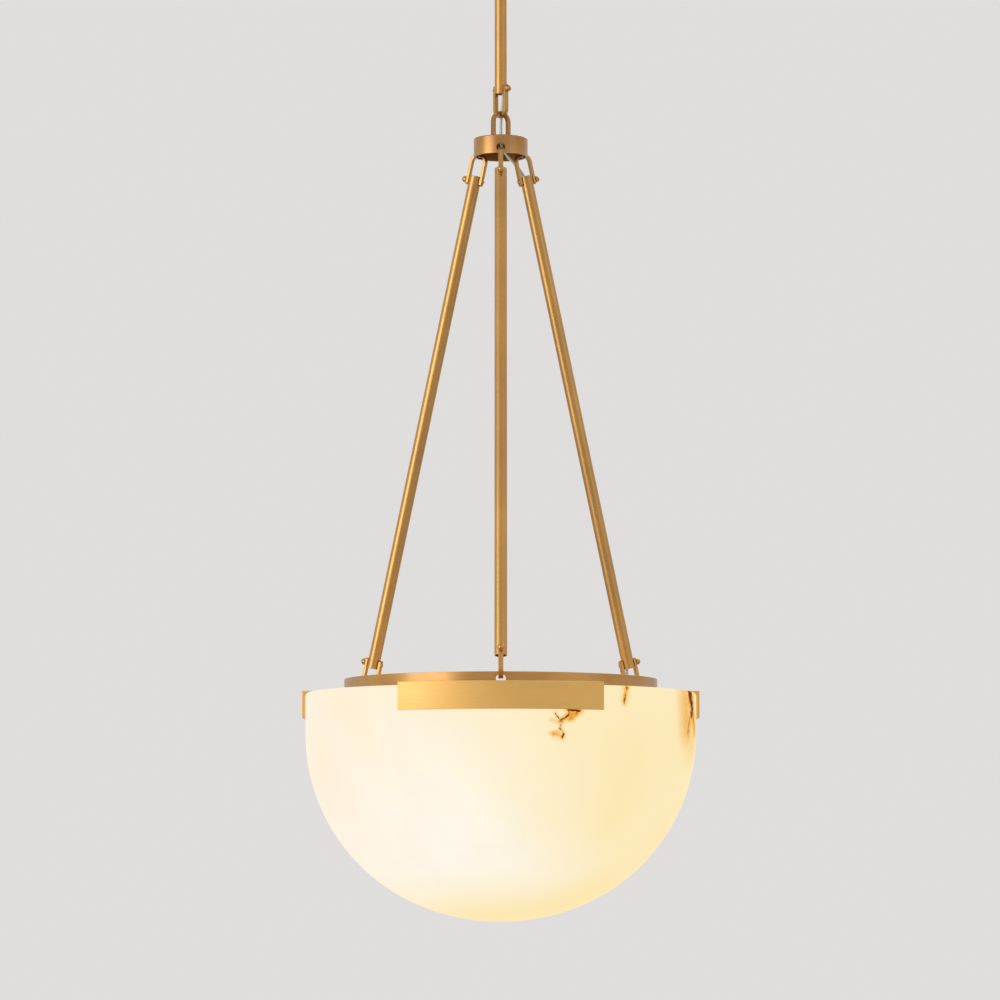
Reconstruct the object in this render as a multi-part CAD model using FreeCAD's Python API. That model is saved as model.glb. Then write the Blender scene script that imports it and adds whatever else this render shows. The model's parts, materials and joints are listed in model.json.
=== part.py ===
import FreeCAD, Part
import math
import os

# Bowl pendant light: an alabaster bowl hangs by three rods from a hub, and the hub by two links from a stem.
# Sizes are millimetres. The origin lies on the ceiling above the lamp's axis, with Z up, X to the right
# and Y away from the viewer.

Vector = FreeCAD.Vector
UP = Vector(0, 0, 1)
ORIGIN = Vector(0, 0, 0)
SAME_SIZE = 0.01  # an edge is taken for the one asked for within this

# Clearances
RUNNING_CLEARANCE = 0.08    # radial, between a pivot bolt and what turns on it
SLIDE_CLEARANCE = 0.3       # radial, between the stem and what slides on it
LINK_CLEARANCE = 0.3        # between two links where they bear on each other
RING_PIVOT_CLEARANCE = 0.8  # between a ring shackle and its hole in the ring
SEAT_CLEARANCE = 0.1        # between curved faces that are screwed together
THREAD_CLEARANCE = 0.1      # radial, between a screw and its thread
SCREW_CLEARANCE = 0.3       # radial, between a screw and its plain hole
CORD_CLEARANCE = 0.25       # between the cord and the hardware beside it

# Ceiling bracket, nipple and canopy
BRACKET_LENGTH = 100.0
BRACKET_WIDTH = 22.0
BRACKET_THICKNESS = 2.0
BRACKET_DROP = 12.0
BRACKET_FLANGE = 24.0
CEILING_SCREW_SPACING = 80.0
CEILING_SCREW_HOLE_RADIUS = 2.6
NIPPLE_BORE_RADIUS = 3.6
NIPPLE_GRIP = 22.0
HANGER_NUT_HEIGHT = 5.0
HANGER_NUT_FLATS = 17.0
EARTH_SCREW_OFFSET = 16.0
CANOPY_RADIUS = 60.0
CANOPY_HEIGHT = 30.0
CANOPY_WALL = 1.5
CANOPY_EDGE_RADIUS = 4.0
COLLAR_RADIUS = 11.0
COLLAR_HEIGHT = 10.0
COLLAR_EDGE_RADIUS = 1.0

# Stem and rods
STEM_RADIUS = 6.35
STEM_WALL = 1.2
STEM_LENGTH = 131.0
ROD_RADIUS = 6.35
ROD_WALL = 1.0
ROD_LENGTH = 524.0
ROD_ANGLES = {"front": 270.0, "right": 30.0, "left": 150.0}

# Flat strap links and their bolts
STRAP_WIDTH = 5.0
STRAP_THICKNESS = 3.0
STRAP_SIDE_GAP = 0.3        # between a leg and the tube that it straddles
STEM_SHACKLE_THROAT = 22.0  # from the stem's end to the inside of the bend
ROD_SHACKLE_THROAT = 20.5   # from a rod's end to the inside of the bend
TUBE_END_MARGIN = 5.0       # from a bolt to the end of its tube
LEG_END_MARGIN = 5.0        # from a bolt to the end of the strap's leg
STEM_SHACKLE_ANGLE = -50.0
BOLT_RADIUS = 1.5
BOLT_HEAD_RADIUS = 2.5
BOLT_HEAD_HEIGHT = 1.2
CAP_NUT_RADIUS = 3.5
CAP_NUT_HEIGHT = 5.5
CAP_NUT_DEPTH = 3.6

# Hub and its loop
HUB_RADIUS = 28.0
HUB_HEIGHT = 19.0
HUB_WALL = 2.5
HUB_TOP_THICKNESS = 3.0
HUB_EDGE_RADIUS = 1.0
HUB_HOLE_RADIUS = 4.5
HUB_HOLE_EDGE = 1.5         # metal left under a hole in the hub's wall
LOOP_GAP = 17.0
LOOP_HEIGHT = 26.0          # clear height under the loop
LOOP_STUD_RADIUS = 1.4
LOOP_NUT_FLATS = 5.5
LOOP_NUT_HEIGHT = 2.4
LOOP_STUD_END = 1.0         # thread that shows past a nut
GROMMET_NECK_RADIUS = 3.2
GROMMET_FLANGE_RADIUS = 4.4
GROMMET_FLANGE_HEIGHT = 1.2
GROMMET_SETBACK = 8.0       # from the lamp's axis to the cord's way into the hub

# Small pan-headed screws
PAN_SCREW_RADIUS = 1.5
PAN_SCREW_HEAD_RADIUS = 2.8
PAN_SCREW_HEAD_HEIGHT = 2.0
PLATE_SCREW_BITE = 3.6      # thread that a lamp plate screw has in the ring

# Ring
RING_RADIUS = 160.5
RING_THICKNESS = 6.0
RING_HEIGHT = 18.0
RING_HOLE_RADIUS = 5.0
RING_HOLE_EDGE = 2.0        # metal left over a hole in the ring
RING_HOLE_CHAMFER = 1.0
RING_STAND = 14.0           # from the bowl's rim up to the top of the ring

# Rim clips
CLIP_ANGLE = 60.0
CLIP_THICKNESS = 2.0
APRON_THICKNESS = 2.5
APRON_GAP = 1.3
APRON_DROP = 25.0
CLIP_EDGE_RADIUS = 1.0
TAB_DROP = 4.0
PAD_THICKNESS = 0.8
PAD_MARGIN = 4.5            # from each edge of the rim to the pad
RING_SCREW_ANGLE = 20.0
STUD_RADIUS = 2.5
STUD_ANGLE = 16.0
STUD_DROP = 13.0
STUD_END = 1.5
STUD_NUT_FLATS = 8.0
STUD_NUT_HEIGHT = 4.0
STUD_WASHER_RADIUS = 7.0
STUD_WASHER_THICKNESS = 1.5
STUD_HOLE_CLEARANCE = 1.0

# Bowl
BOWL_RADIUS = 200.0
BOWL_WALL = 12.0
BOWL_STRAIGHT_DEPTH = 41.0
BOWL_SIDE_INSET = 10.0      # the side arc's centre lies this far from the axis
BOWL_BASE_FLATTENING = 25.0 # the base arc's radius less the side arc's
BOWL_RIM_ROUNDING = 3.0

# Lamp plate and lamps
PLATE_RADIUS = 75.0
PLATE_THICKNESS = 2.0
PLATE_DROP = 22.0
ARM_WIDTH = 22.0
ARM_SEAT = 22.0            # level end of an arm under the ring
ARM_SLOPE = 16.0
LAMP_ANGLES = {"right": 330.0, "rear": 90.0, "left": 210.0}
LAMP_CIRCLE_RADIUS = 55.0
HOLDER_RADIUS = 14.0
HOLDER_LENGTH = 34.0
HOLDER_WALL = 2.0
HOLDER_FLOOR = 10.0
HOLDER_NECK_RADIUS = 5.0
HOLDER_NECK_BORE_RADIUS = 3.0
HOLDER_NUT_FLATS = 14.0
HOLDER_NUT_HEIGHT = 3.0
BULB_NECK_LENGTH = 16.0
BULB_RADIUS = 22.5
CONNECTOR_RADIUS = 15.0
CONNECTOR_HEIGHT = 9.0
CONNECTOR_EDGE_RADIUS = 1.5

# Cord and leads
CORD_RADIUS = 1.6
LEAD_RADIUS = 1.1
CORD_BEND_SHARE = 0.45      # share of the shorter run that an arc takes up
CORD_LEAD = 4.0             # straight cord past the end of what it leaves
CORD_END_GAP = 0.5          # between a slanting cord end and the box that it goes into
LEAD_ARCH = 10.0            # a lead's arch over its lamp holder's neck
STEM_CORD_FOOT = 33.0       # straight cord beside the stem's bolt
GROMMET_RUN = 10.4          # straight cord over the grommet
RING_CORD_GAP = 4.0         # from the cord's way in to the ring's top and inner face
ARM_CORD_SIDE = 6.0         # from the middle of an arm to the cord beside it
ARM_CORD_GAP = 4.0          # from the cord to the step in an arm
CORD_FOOT_REACH = 60.0      # from the lamp's axis to where the cord comes down on the plate
CORD_FOOT_SIDE = 4.0
CORD_END_SIDE = 1.0


def direction(angle):
    """Level unit vector at an angle in degrees, measured from +X towards +Y."""
    return Vector(math.cos(math.radians(angle)), math.sin(math.radians(angle)), 0)


def arc_rise(radius, half_width):
    """How far an arc rises from its lowest point over half a width."""
    return radius - math.sqrt(radius ** 2 - half_width ** 2)


# Places worked out from the sizes, from the ceiling down
web_top = -BRACKET_DROP
web_bottom = web_top - BRACKET_THICKNESS
stem_top = web_bottom - HANGER_NUT_HEIGHT - BRACKET_THICKNESS
stem_end = stem_top - STEM_LENGTH
stem_bore = STEM_RADIUS - STEM_WALL
stem_bend = STEM_RADIUS + STRAP_SIDE_GAP
stem_bolt_place = Vector(0, 0, stem_end + TUBE_END_MARGIN)
stem_bend_centre = Vector(0, 0, stem_end - STEM_SHACKLE_THROAT + stem_bend)
shackle_side = direction(STEM_SHACKLE_ANGLE)
loop_side = direction(STEM_SHACKLE_ANGLE + 90)

loop_bend = LOOP_GAP / 2
saddle_gap = arc_rise(stem_bend, STRAP_WIDTH / 2) + arc_rise(loop_bend, STRAP_WIDTH / 2) + LINK_CLEARANCE
loop_inside_top = stem_end - STEM_SHACKLE_THROAT + saddle_gap
hub_top = loop_inside_top - LOOP_HEIGHT
hub_bottom = hub_top - HUB_HEIGHT
hub_wall_middle = HUB_RADIUS - HUB_WALL / 2
hub_hole_height = hub_bottom + HUB_HOLE_EDGE + HUB_HOLE_RADIUS

rod_bend = ROD_RADIUS + STRAP_SIDE_GAP
rod_bore = ROD_RADIUS - ROD_WALL
bend_to_rod = ROD_SHACKLE_THROAT - rod_bend
bend_to_bolt = bend_to_rod + TUBE_END_MARGIN
ring_middle = RING_RADIUS - RING_THICKNESS / 2
bend_to_bend = ROD_LENGTH + 2 * bend_to_rod
rod_tilt = math.asin((ring_middle - hub_wall_middle) / bend_to_bend)
hub_hole_chord = math.sqrt(HUB_HOLE_RADIUS ** 2 - STRAP_WIDTH ** 2 / 4)
hub_bend_height = (hub_hole_height - hub_hole_chord + LINK_CLEARANCE
                   - rod_bend + arc_rise(rod_bend, HUB_WALL / 2))
ring_bend_height = hub_bend_height - bend_to_bend * math.cos(rod_tilt)
ring_hole_chord = math.sqrt(RING_HOLE_RADIUS ** 2 - STRAP_WIDTH ** 2 / 4)
ring_bearing_half = RING_THICKNESS / 2 - RING_HOLE_CHAMFER
ring_hole_height = (ring_bend_height - rod_bend + arc_rise(rod_bend, ring_bearing_half)
                    + RING_PIVOT_CLEARANCE - ring_hole_chord)
ring_top = ring_hole_height + RING_HOLE_RADIUS + RING_HOLE_EDGE
ring_bottom = ring_top - RING_HEIGHT
ring_inside = RING_RADIUS - RING_THICKNESS

rim = ring_top - RING_STAND
bowl_side_radius = BOWL_RADIUS - BOWL_SIDE_INSET
bowl_base_radius = bowl_side_radius + BOWL_BASE_FLATTENING
bowl_side_centre = rim - BOWL_STRAIGHT_DEPTH
bowl_base_centre = bowl_side_centre + math.sqrt(BOWL_BASE_FLATTENING ** 2 - BOWL_SIDE_INSET ** 2)
bowl_bottom = bowl_base_centre - bowl_base_radius
bowl_inside = BOWL_RADIUS - BOWL_WALL
plate_top = ring_bottom - PLATE_DROP
plate_bottom = plate_top - PLATE_THICKNESS


def cylinder(radius, start, end):
    """Round bar between two points."""
    return Part.makeCylinder(radius, (end - start).Length, start, end - start)


def tube(outer, inner, start, end):
    """Round tube between two points."""
    return cylinder(outer, start, end).cut(cylinder(inner, start, end))


def turned(points, angle=360.0, start=0.0):
    """Solid turned about Z from (radius, height) corners."""
    corners = [Vector(radius, 0, height) for radius, height in points]
    face = Part.Face(Part.makePolygon(corners + corners[:1]))
    face.rotate(ORIGIN, UP, start)
    return face.revolve(ORIGIN, UP, angle)


def hex_nut(flats, height, bore):
    """Hexagon nut from Z = 0 upwards."""
    corner = flats / math.sqrt(3)
    corners = [direction(60 * side) * corner for side in range(7)]
    body = Part.Face(Part.makePolygon(corners)).extrude(UP * height)
    return body.cut(Part.makeCylinder(bore, height))


def placed(shape, origin, x_axis, z_axis):
    """Copy of a shape moved to an origin, with its X and Z turned to two square directions."""
    y_axis = z_axis.cross(x_axis)
    columns = (x_axis, y_axis, z_axis, origin)
    rows = [[column[row] for column in columns] for row in range(3)]
    copy = shape.copy()
    copy.Placement = FreeCAD.Placement(FreeCAD.Matrix(*rows[0], *rows[1], *rows[2], 0, 0, 0, 1))
    return copy


def round_edge(shape, radius, centre_height, edge_radius):
    """Round a turned shape's circular edge, found by its height and radius."""
    for edge in shape.Edges:
        if not isinstance(edge.Curve, Part.Circle):
            continue
        right_height = abs(edge.CenterOfMass.z - centre_height) < SAME_SIZE
        if right_height and abs(edge.Curve.Radius - radius) < SAME_SIZE:
            return shape.makeFillet(edge_radius, [edge])
    raise ValueError("no such edge to round")


def cord(points, radius, name):
    """Round cord along straight runs joined by tangent arcs, checked against section times length."""
    edges = []
    last = points[0]
    bends = []
    for before, corner, after in zip(points, points[1:], points[2:]):
        incoming = (before - corner).normalize()
        outgoing = (after - corner).normalize()
        turn = math.pi - incoming.getAngle(outgoing)
        reach = CORD_BEND_SHARE * min((before - corner).Length, (after - corner).Length)
        bend = reach / math.tan(turn / 2)
        bends.append(round(bend, 1))
        start = corner + incoming * reach
        end = corner + outgoing * reach
        towards_centre = (incoming + outgoing).normalize()
        middle = corner + towards_centre * (bend / math.cos(turn / 2) - bend)
        edges.append(Part.LineSegment(last, start).toShape())
        edges.append(Part.Arc(start, middle, end).toShape())
        last = end
    edges.append(Part.LineSegment(last, points[-1]).toShape())
    path = Part.Wire(edges)
    section = Part.Wire(Part.Circle(points[0], points[1] - points[0], radius).toShape())
    solid = path.makePipeShell([section], True, False)
    share = solid.Volume / (math.pi * radius ** 2 * path.Length)
    print(name, "bend radii", bends, "volume against section times length", round(share, 4))
    return solid


def strap(bend, leg):
    """Flat bar bent to a U in the XZ plane: bend centre at the origin, legs up +Z with square ends."""
    outer = bend + STRAP_THICKNESS
    half = Vector(0, STRAP_WIDTH / 2, 0)

    def line(start, end):
        return Part.LineSegment(Vector(*start), Vector(*end)).toShape()

    def half_round(radius):
        return Part.Arc(Vector(radius, 0, 0), Vector(0, 0, -radius), Vector(-radius, 0, 0)).toShape()

    outline = Part.Wire([
        half_round(outer),
        line((-outer, 0, 0), (-outer, 0, leg)),
        line((-outer, 0, leg), (-bend, 0, leg)),
        line((-bend, 0, leg), (-bend, 0, 0)),
        half_round(bend),
        line((bend, 0, 0), (bend, 0, leg)),
        line((bend, 0, leg), (outer, 0, leg)),
        line((outer, 0, leg), (outer, 0, 0)),
    ])
    face = Part.Face(outline)
    face.translate(-half)
    return face.extrude(half * 2)


def shackle(bend, reach):
    """Strap with round leg ends and a bolt hole at a given reach from its bend centre."""
    outer = bend + STRAP_THICKNESS
    leg = reach + LEG_END_MARGIN
    end_centre = leg - STRAP_WIDTH / 2
    body = strap(bend, leg)
    across = Vector(outer, 0, 0)
    round_ends = cylinder(STRAP_WIDTH / 2, UP * end_centre - across, UP * end_centre + across)
    below = Part.makeBox(2 * outer, STRAP_WIDTH, outer + end_centre, Vector(-outer, -STRAP_WIDTH / 2, -outer))
    body = body.common(below.fuse(round_ends)).removeSplitter()
    hole_radius = BOLT_RADIUS + THREAD_CLEARANCE
    return body.cut(cylinder(hole_radius, UP * reach - across, UP * reach + across))


def shackle_bolt(bend):
    """Round-headed bolt along Z, centred on the tube that it holds."""
    face = bend + STRAP_THICKNESS
    crown = BOLT_HEAD_HEIGHT / 2
    head = cylinder(BOLT_HEAD_RADIUS, UP * (-face - crown), UP * -face)
    dome = Part.makeCone(BOLT_HEAD_RADIUS, BOLT_HEAD_RADIUS - crown, crown, UP * (-face - crown), -UP)
    shank = cylinder(BOLT_RADIUS, UP * -face, UP * (face + CAP_NUT_DEPTH - THREAD_CLEARANCE))
    return head.fuse(dome).fuse(shank)


def cap_nut(bend):
    """Round cap nut seated on the outer leg, on the same axis as its bolt."""
    face = bend + STRAP_THICKNESS
    crown = CAP_NUT_RADIUS / 2
    shoulder = face + CAP_NUT_HEIGHT - crown
    body = cylinder(CAP_NUT_RADIUS, UP * face, UP * shoulder)
    body = body.fuse(Part.makeCone(CAP_NUT_RADIUS, CAP_NUT_RADIUS - crown, crown, UP * shoulder))
    return body.cut(Part.makeCylinder(BOLT_RADIUS + THREAD_CLEARANCE / 2, CAP_NUT_DEPTH, UP * face))


def rod_axes(angle):
    """Directions of the rod at an angle: down along it, and square to it away from the lamp's axis."""
    outward = direction(angle)
    down = outward * math.sin(rod_tilt) - UP * math.cos(rod_tilt)
    across = outward * math.cos(rod_tilt) + UP * math.sin(rod_tilt)
    return down, across


def hub_bend_centre(angle):
    return direction(angle) * hub_wall_middle + UP * hub_bend_height


def ring_bend_centre(angle):
    return direction(angle) * ring_middle + UP * ring_bend_height


def hub_bolt_place(angle):
    return hub_bend_centre(angle) + rod_axes(angle)[0] * bend_to_bolt


def ring_bolt_place(angle):
    return ring_bend_centre(angle) - rod_axes(angle)[0] * bend_to_bolt


def ceiling_bracket():
    """Pressed hat-section bar: two flanges on the ceiling and a lowered web with the nipple's hole."""
    half = BRACKET_LENGTH / 2
    outer = half - BRACKET_FLANGE
    inner = outer - BRACKET_THICKNESS
    right = [(inner, web_top), (inner, 0), (half, 0), (half, -BRACKET_THICKNESS),
             (outer, -BRACKET_THICKNESS), (outer, web_bottom)]
    left = [(-x, z) for x, z in reversed(right)]
    corners = [Vector(x, -BRACKET_WIDTH / 2, z) for x, z in right + left]
    body = Part.Face(Part.makePolygon(corners + corners[:1])).extrude(Vector(0, BRACKET_WIDTH, 0))
    body = body.cut(cylinder(stem_bore - THREAD_CLEARANCE + SCREW_CLEARANCE, ORIGIN, UP * web_bottom))
    earth = Vector(EARTH_SCREW_OFFSET, 0, 0)
    body = body.cut(cylinder(PAN_SCREW_RADIUS + THREAD_CLEARANCE, earth, earth + UP * web_bottom))
    for side in (-1, 1):
        place = Vector(side * CEILING_SCREW_SPACING / 2, 0, 0)
        body = body.cut(cylinder(CEILING_SCREW_HOLE_RADIUS, place, place - UP * BRACKET_THICKNESS))
    return body


def hanger_nipple():
    top = UP * (web_top + HANGER_NUT_HEIGHT + BRACKET_THICKNESS)
    return tube(stem_bore - THREAD_CLEARANCE, NIPPLE_BORE_RADIUS, UP * (stem_top - NIPPLE_GRIP), top)


def hanger_nuts():
    upper = hex_nut(HANGER_NUT_FLATS, HANGER_NUT_HEIGHT, stem_bore)
    lower = upper.copy()
    upper.translate(UP * web_top)
    lower.translate(UP * (web_bottom - HANGER_NUT_HEIGHT))
    return Part.makeCompound([upper, lower])


def pan_screw(length, place, x_axis, z_axis):
    """Pan-headed screw: the head lies under its place and the shank runs up the Z direction."""
    head = cylinder(PAN_SCREW_HEAD_RADIUS, UP * -PAN_SCREW_HEAD_HEIGHT, ORIGIN)
    return placed(head.fuse(cylinder(PAN_SCREW_RADIUS, ORIGIN, UP * length)), place, x_axis, z_axis)


def earth_screw():
    place = Vector(EARTH_SCREW_OFFSET, 0, web_bottom)
    return pan_screw(2 * BRACKET_THICKNESS, place, Vector(1, 0, 0), UP)


def stem():
    body = tube(STEM_RADIUS, stem_bore, UP * stem_end, UP * stem_top)
    reach = shackle_side * STEM_RADIUS * 2
    hole = cylinder(BOLT_RADIUS + RUNNING_CLEARANCE, stem_bolt_place - reach, stem_bolt_place + reach)
    return body.cut(hole)


def canopy():
    """Shallow cup, open at the ceiling, with a hole for the stem."""
    floor = -CANOPY_HEIGHT
    inner = STEM_RADIUS + SLIDE_CLEARANCE
    outside = turned([(inner, 0), (CANOPY_RADIUS, 0), (CANOPY_RADIUS, floor), (inner, floor)])
    inside = turned([(inner, 0), (CANOPY_RADIUS - CANOPY_WALL, 0),
                     (CANOPY_RADIUS - CANOPY_WALL, floor + CANOPY_WALL), (inner, floor + CANOPY_WALL)])
    outside = round_edge(outside, CANOPY_RADIUS, floor, CANOPY_EDGE_RADIUS)
    inside = round_edge(inside, CANOPY_RADIUS - CANOPY_WALL, floor + CANOPY_WALL,
                        CANOPY_EDGE_RADIUS - CANOPY_WALL)
    return outside.cut(inside)


collar_middle = -CANOPY_HEIGHT - COLLAR_HEIGHT / 2


def canopy_collar():
    top = UP * -CANOPY_HEIGHT
    bottom = top - UP * COLLAR_HEIGHT
    body = tube(COLLAR_RADIUS, STEM_RADIUS + SLIDE_CLEARANCE, bottom, top)
    body = round_edge(body, COLLAR_RADIUS, bottom.z, COLLAR_EDGE_RADIUS)
    hole_radius = PAN_SCREW_RADIUS + THREAD_CLEARANCE
    return body.cut(cylinder(hole_radius, UP * collar_middle, Vector(0, 2 * COLLAR_RADIUS, collar_middle)))


def collar_screw():
    """Thumb screw at the back of the collar, its tip just off the stem."""
    head_face = COLLAR_RADIUS + SEAT_CLEARANCE
    place = Vector(0, head_face, collar_middle)
    length = head_face - STEM_RADIUS - SLIDE_CLEARANCE
    return pan_screw(length, place, Vector(1, 0, 0), Vector(0, -1, 0))


def stem_shackle():
    reach = stem_bolt_place.z - stem_bend_centre.z
    return placed(shackle(stem_bend, reach), stem_bend_centre, shackle_side, UP)


def stem_bolt():
    return placed(shackle_bolt(stem_bend), stem_bolt_place, UP, shackle_side)


def stem_nut():
    return placed(cap_nut(stem_bend), stem_bolt_place, UP, shackle_side)


loop_leg = loop_bend + STRAP_THICKNESS / 2
grommet_place = Vector(0, GROMMET_SETBACK, hub_top)


def hub():
    """Shallow upturned cup with three shackle holes in its wall."""
    inside = HUB_RADIUS - HUB_WALL
    ceiling = hub_top - HUB_TOP_THICKNESS
    body = cylinder(HUB_RADIUS, UP * hub_bottom, UP * hub_top)
    body = round_edge(body, HUB_RADIUS, hub_top, HUB_EDGE_RADIUS)
    body = body.cut(cylinder(inside, UP * hub_bottom, UP * ceiling))
    for angle in ROD_ANGLES.values():
        middle = direction(angle) * hub_wall_middle + UP * hub_hole_height
        reach = direction(angle) * HUB_WALL * 2
        body = body.cut(cylinder(HUB_HOLE_RADIUS, middle - reach, middle + reach))
    for side in (-1, 1):
        foot = loop_side * side * loop_leg + UP * hub_top
        body = body.cut(cylinder(LOOP_STUD_RADIUS + THREAD_CLEARANCE, foot, foot - UP * HUB_TOP_THICKNESS))
    neck_hole = GROMMET_NECK_RADIUS + THREAD_CLEARANCE
    return body.cut(cylinder(neck_hole, grommet_place, grommet_place - UP * HUB_TOP_THICKNESS))


def hub_loop():
    """Inverted strap that stands on the hub, with a stud under each leg."""
    bend_centre = UP * (loop_inside_top - loop_bend)
    body = placed(strap(loop_bend, bend_centre.z - hub_top), bend_centre, loop_side, -UP)
    stud_length = HUB_TOP_THICKNESS + LOOP_NUT_HEIGHT + LOOP_STUD_END
    for side in (-1, 1):
        foot = loop_side * side * loop_leg + UP * hub_top
        body = body.fuse(cylinder(LOOP_STUD_RADIUS, foot, foot - UP * stud_length))
    return body


def loop_nuts():
    nuts = []
    for side in (-1, 1):
        seat = loop_side * side * loop_leg + UP * (hub_top - HUB_TOP_THICKNESS - LOOP_NUT_HEIGHT)
        nuts.append(placed(hex_nut(LOOP_NUT_FLATS, LOOP_NUT_HEIGHT, LOOP_STUD_RADIUS + THREAD_CLEARANCE),
                           seat, loop_side, UP))
    return Part.makeCompound(nuts)


def hub_grommet():
    neck = cylinder(GROMMET_NECK_RADIUS, grommet_place - UP * HUB_TOP_THICKNESS, grommet_place)
    flange = cylinder(GROMMET_FLANGE_RADIUS, grommet_place, grommet_place + UP * GROMMET_FLANGE_HEIGHT)
    top = grommet_place + UP * GROMMET_FLANGE_HEIGHT
    bore = cylinder(CORD_RADIUS + CORD_CLEARANCE, grommet_place - UP * HUB_TOP_THICKNESS, top)
    return neck.fuse(flange).cut(bore)


def hub_shackle(angle):
    down, across = rod_axes(angle)
    return placed(shackle(rod_bend, bend_to_bolt), hub_bend_centre(angle), across, down)


def hub_bolts():
    bolts = []
    for angle in ROD_ANGLES.values():
        down, across = rod_axes(angle)
        bolts.append(placed(shackle_bolt(rod_bend), hub_bolt_place(angle), down, across))
    return Part.makeCompound(bolts)


def hub_bolt_nuts():
    nuts = []
    for angle in ROD_ANGLES.values():
        down, across = rod_axes(angle)
        nuts.append(placed(cap_nut(rod_bend), hub_bolt_place(angle), down, across))
    return Part.makeCompound(nuts)


def rod(angle):
    """Tube between two shackles, with a cross hole near each end."""
    down, across = rod_axes(angle)
    top = hub_bend_centre(angle) + down * bend_to_rod
    body = tube(ROD_RADIUS, rod_bore, top, top + down * ROD_LENGTH)
    reach = across * ROD_RADIUS * 2
    for place in (hub_bolt_place(angle), ring_bolt_place(angle)):
        body = body.cut(cylinder(BOLT_RADIUS + RUNNING_CLEARANCE, place - reach, place + reach))
    return body


def ring_shackle(angle):
    down, across = rod_axes(angle)
    return placed(shackle(rod_bend, bend_to_bolt), ring_bend_centre(angle), across, -down)


def ring_bolt(angle):
    down, across = rod_axes(angle)
    return placed(shackle_bolt(rod_bend), ring_bolt_place(angle), down, across)


def ring_nut(angle):
    down, across = rod_axes(angle)
    return placed(cap_nut(rod_bend), ring_bolt_place(angle), down, across)


tab_middle = rim + PAD_THICKNESS + CLIP_THICKNESS - (TAB_DROP + PAD_THICKNESS + CLIP_THICKNESS) / 2
tab_outside = RING_RADIUS + SEAT_CLEARANCE + CLIP_THICKNESS
plate_screw_length = PLATE_THICKNESS + PLATE_SCREW_BITE


def ring_hole():
    """Cutter for a shackle's hole in the ring, along Z and eased at both faces."""
    eased = RING_THICKNESS / 2 - RING_HOLE_CHAMFER
    past = RING_THICKNESS / 2 + RING_HOLE_CHAMFER
    wide = RING_HOLE_RADIUS + 2 * RING_HOLE_CHAMFER
    return turned([(0, -past), (wide, -past), (RING_HOLE_RADIUS, -eased),
                   (RING_HOLE_RADIUS, eased), (wide, past), (0, past)])


def ring():
    """Hoop with three eased holes for the shackles and screw holes for the clips and the lamp plate."""
    body = tube(RING_RADIUS, ring_inside, UP * ring_bottom, UP * ring_top)
    for angle in ROD_ANGLES.values():
        outward = direction(angle)
        middle = outward * ring_middle + UP * ring_hole_height
        body = body.cut(placed(ring_hole(), middle, UP, outward))
        screw = outward * ring_middle + UP * ring_bottom
        depth = UP * (PLATE_SCREW_BITE + THREAD_CLEARANCE)
        body = body.cut(cylinder(PAN_SCREW_RADIUS + THREAD_CLEARANCE, screw, screw + depth))
        for side in (-1, 1):
            across = direction(angle + side * RING_SCREW_ANGLE)
            start = across * (ring_inside - RING_THICKNESS) + UP * tab_middle
            end = across * (RING_RADIUS + RING_THICKNESS) + UP * tab_middle
            body = body.cut(cylinder(PAN_SCREW_RADIUS + SCREW_CLEARANCE, start, end))
    return body


def rim_clip(angle):
    """Bent clip: a tab on the ring, a flange over the rim and an apron outside the bowl, with two studs."""
    under = rim + PAD_THICKNESS
    top = under + CLIP_THICKNESS
    tab_inside = RING_RADIUS + SEAT_CLEARANCE
    apron_inside = BOWL_RADIUS + APRON_GAP
    apron_outside = apron_inside + APRON_THICKNESS
    profile = [(tab_inside, rim - TAB_DROP), (tab_inside, top), (apron_outside, top),
               (apron_outside, rim - APRON_DROP), (apron_inside, rim - APRON_DROP),
               (apron_inside, under), (tab_outside, under), (tab_outside, rim - TAB_DROP)]
    body = turned(profile, CLIP_ANGLE, angle - CLIP_ANGLE / 2)
    body = round_edge(body, apron_outside, top, CLIP_EDGE_RADIUS)
    for side in (-1, 1):
        screw = direction(angle + side * RING_SCREW_ANGLE)
        start = screw * ring_inside + UP * tab_middle
        end = screw * (tab_outside + CLIP_THICKNESS) + UP * tab_middle
        body = body.cut(cylinder(PAN_SCREW_RADIUS + THREAD_CLEARANCE, start, end))
        stud = direction(angle + side * STUD_ANGLE)
        root = stud * (apron_inside + APRON_THICKNESS / 2) + UP * (rim - STUD_DROP)
        reach = STUD_WASHER_THICKNESS + STUD_NUT_HEIGHT + STUD_END + SCREW_CLEARANCE
        tip = stud * (bowl_inside - reach) + UP * (rim - STUD_DROP)
        body = body.fuse(cylinder(STUD_RADIUS, root, tip))
    return body


def clip_pads():
    inside = bowl_inside + PAD_MARGIN
    outside = BOWL_RADIUS - PAD_MARGIN
    pads = []
    for angle in ROD_ANGLES.values():
        profile = [(inside, rim), (outside, rim),
                   (outside, rim + PAD_THICKNESS), (inside, rim + PAD_THICKNESS)]
        pads.append(turned(profile, CLIP_ANGLE, angle - CLIP_ANGLE / 2))
    return Part.makeCompound(pads)


def ring_screws():
    screws = []
    length = tab_outside - ring_inside
    for angle in ROD_ANGLES.values():
        for side in (-1, 1):
            outward = direction(angle + side * RING_SCREW_ANGLE)
            place = outward * (ring_inside - SEAT_CLEARANCE) + UP * tab_middle
            screws.append(pan_screw(length, place, UP, outward))
    return Part.makeCompound(screws)


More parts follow.
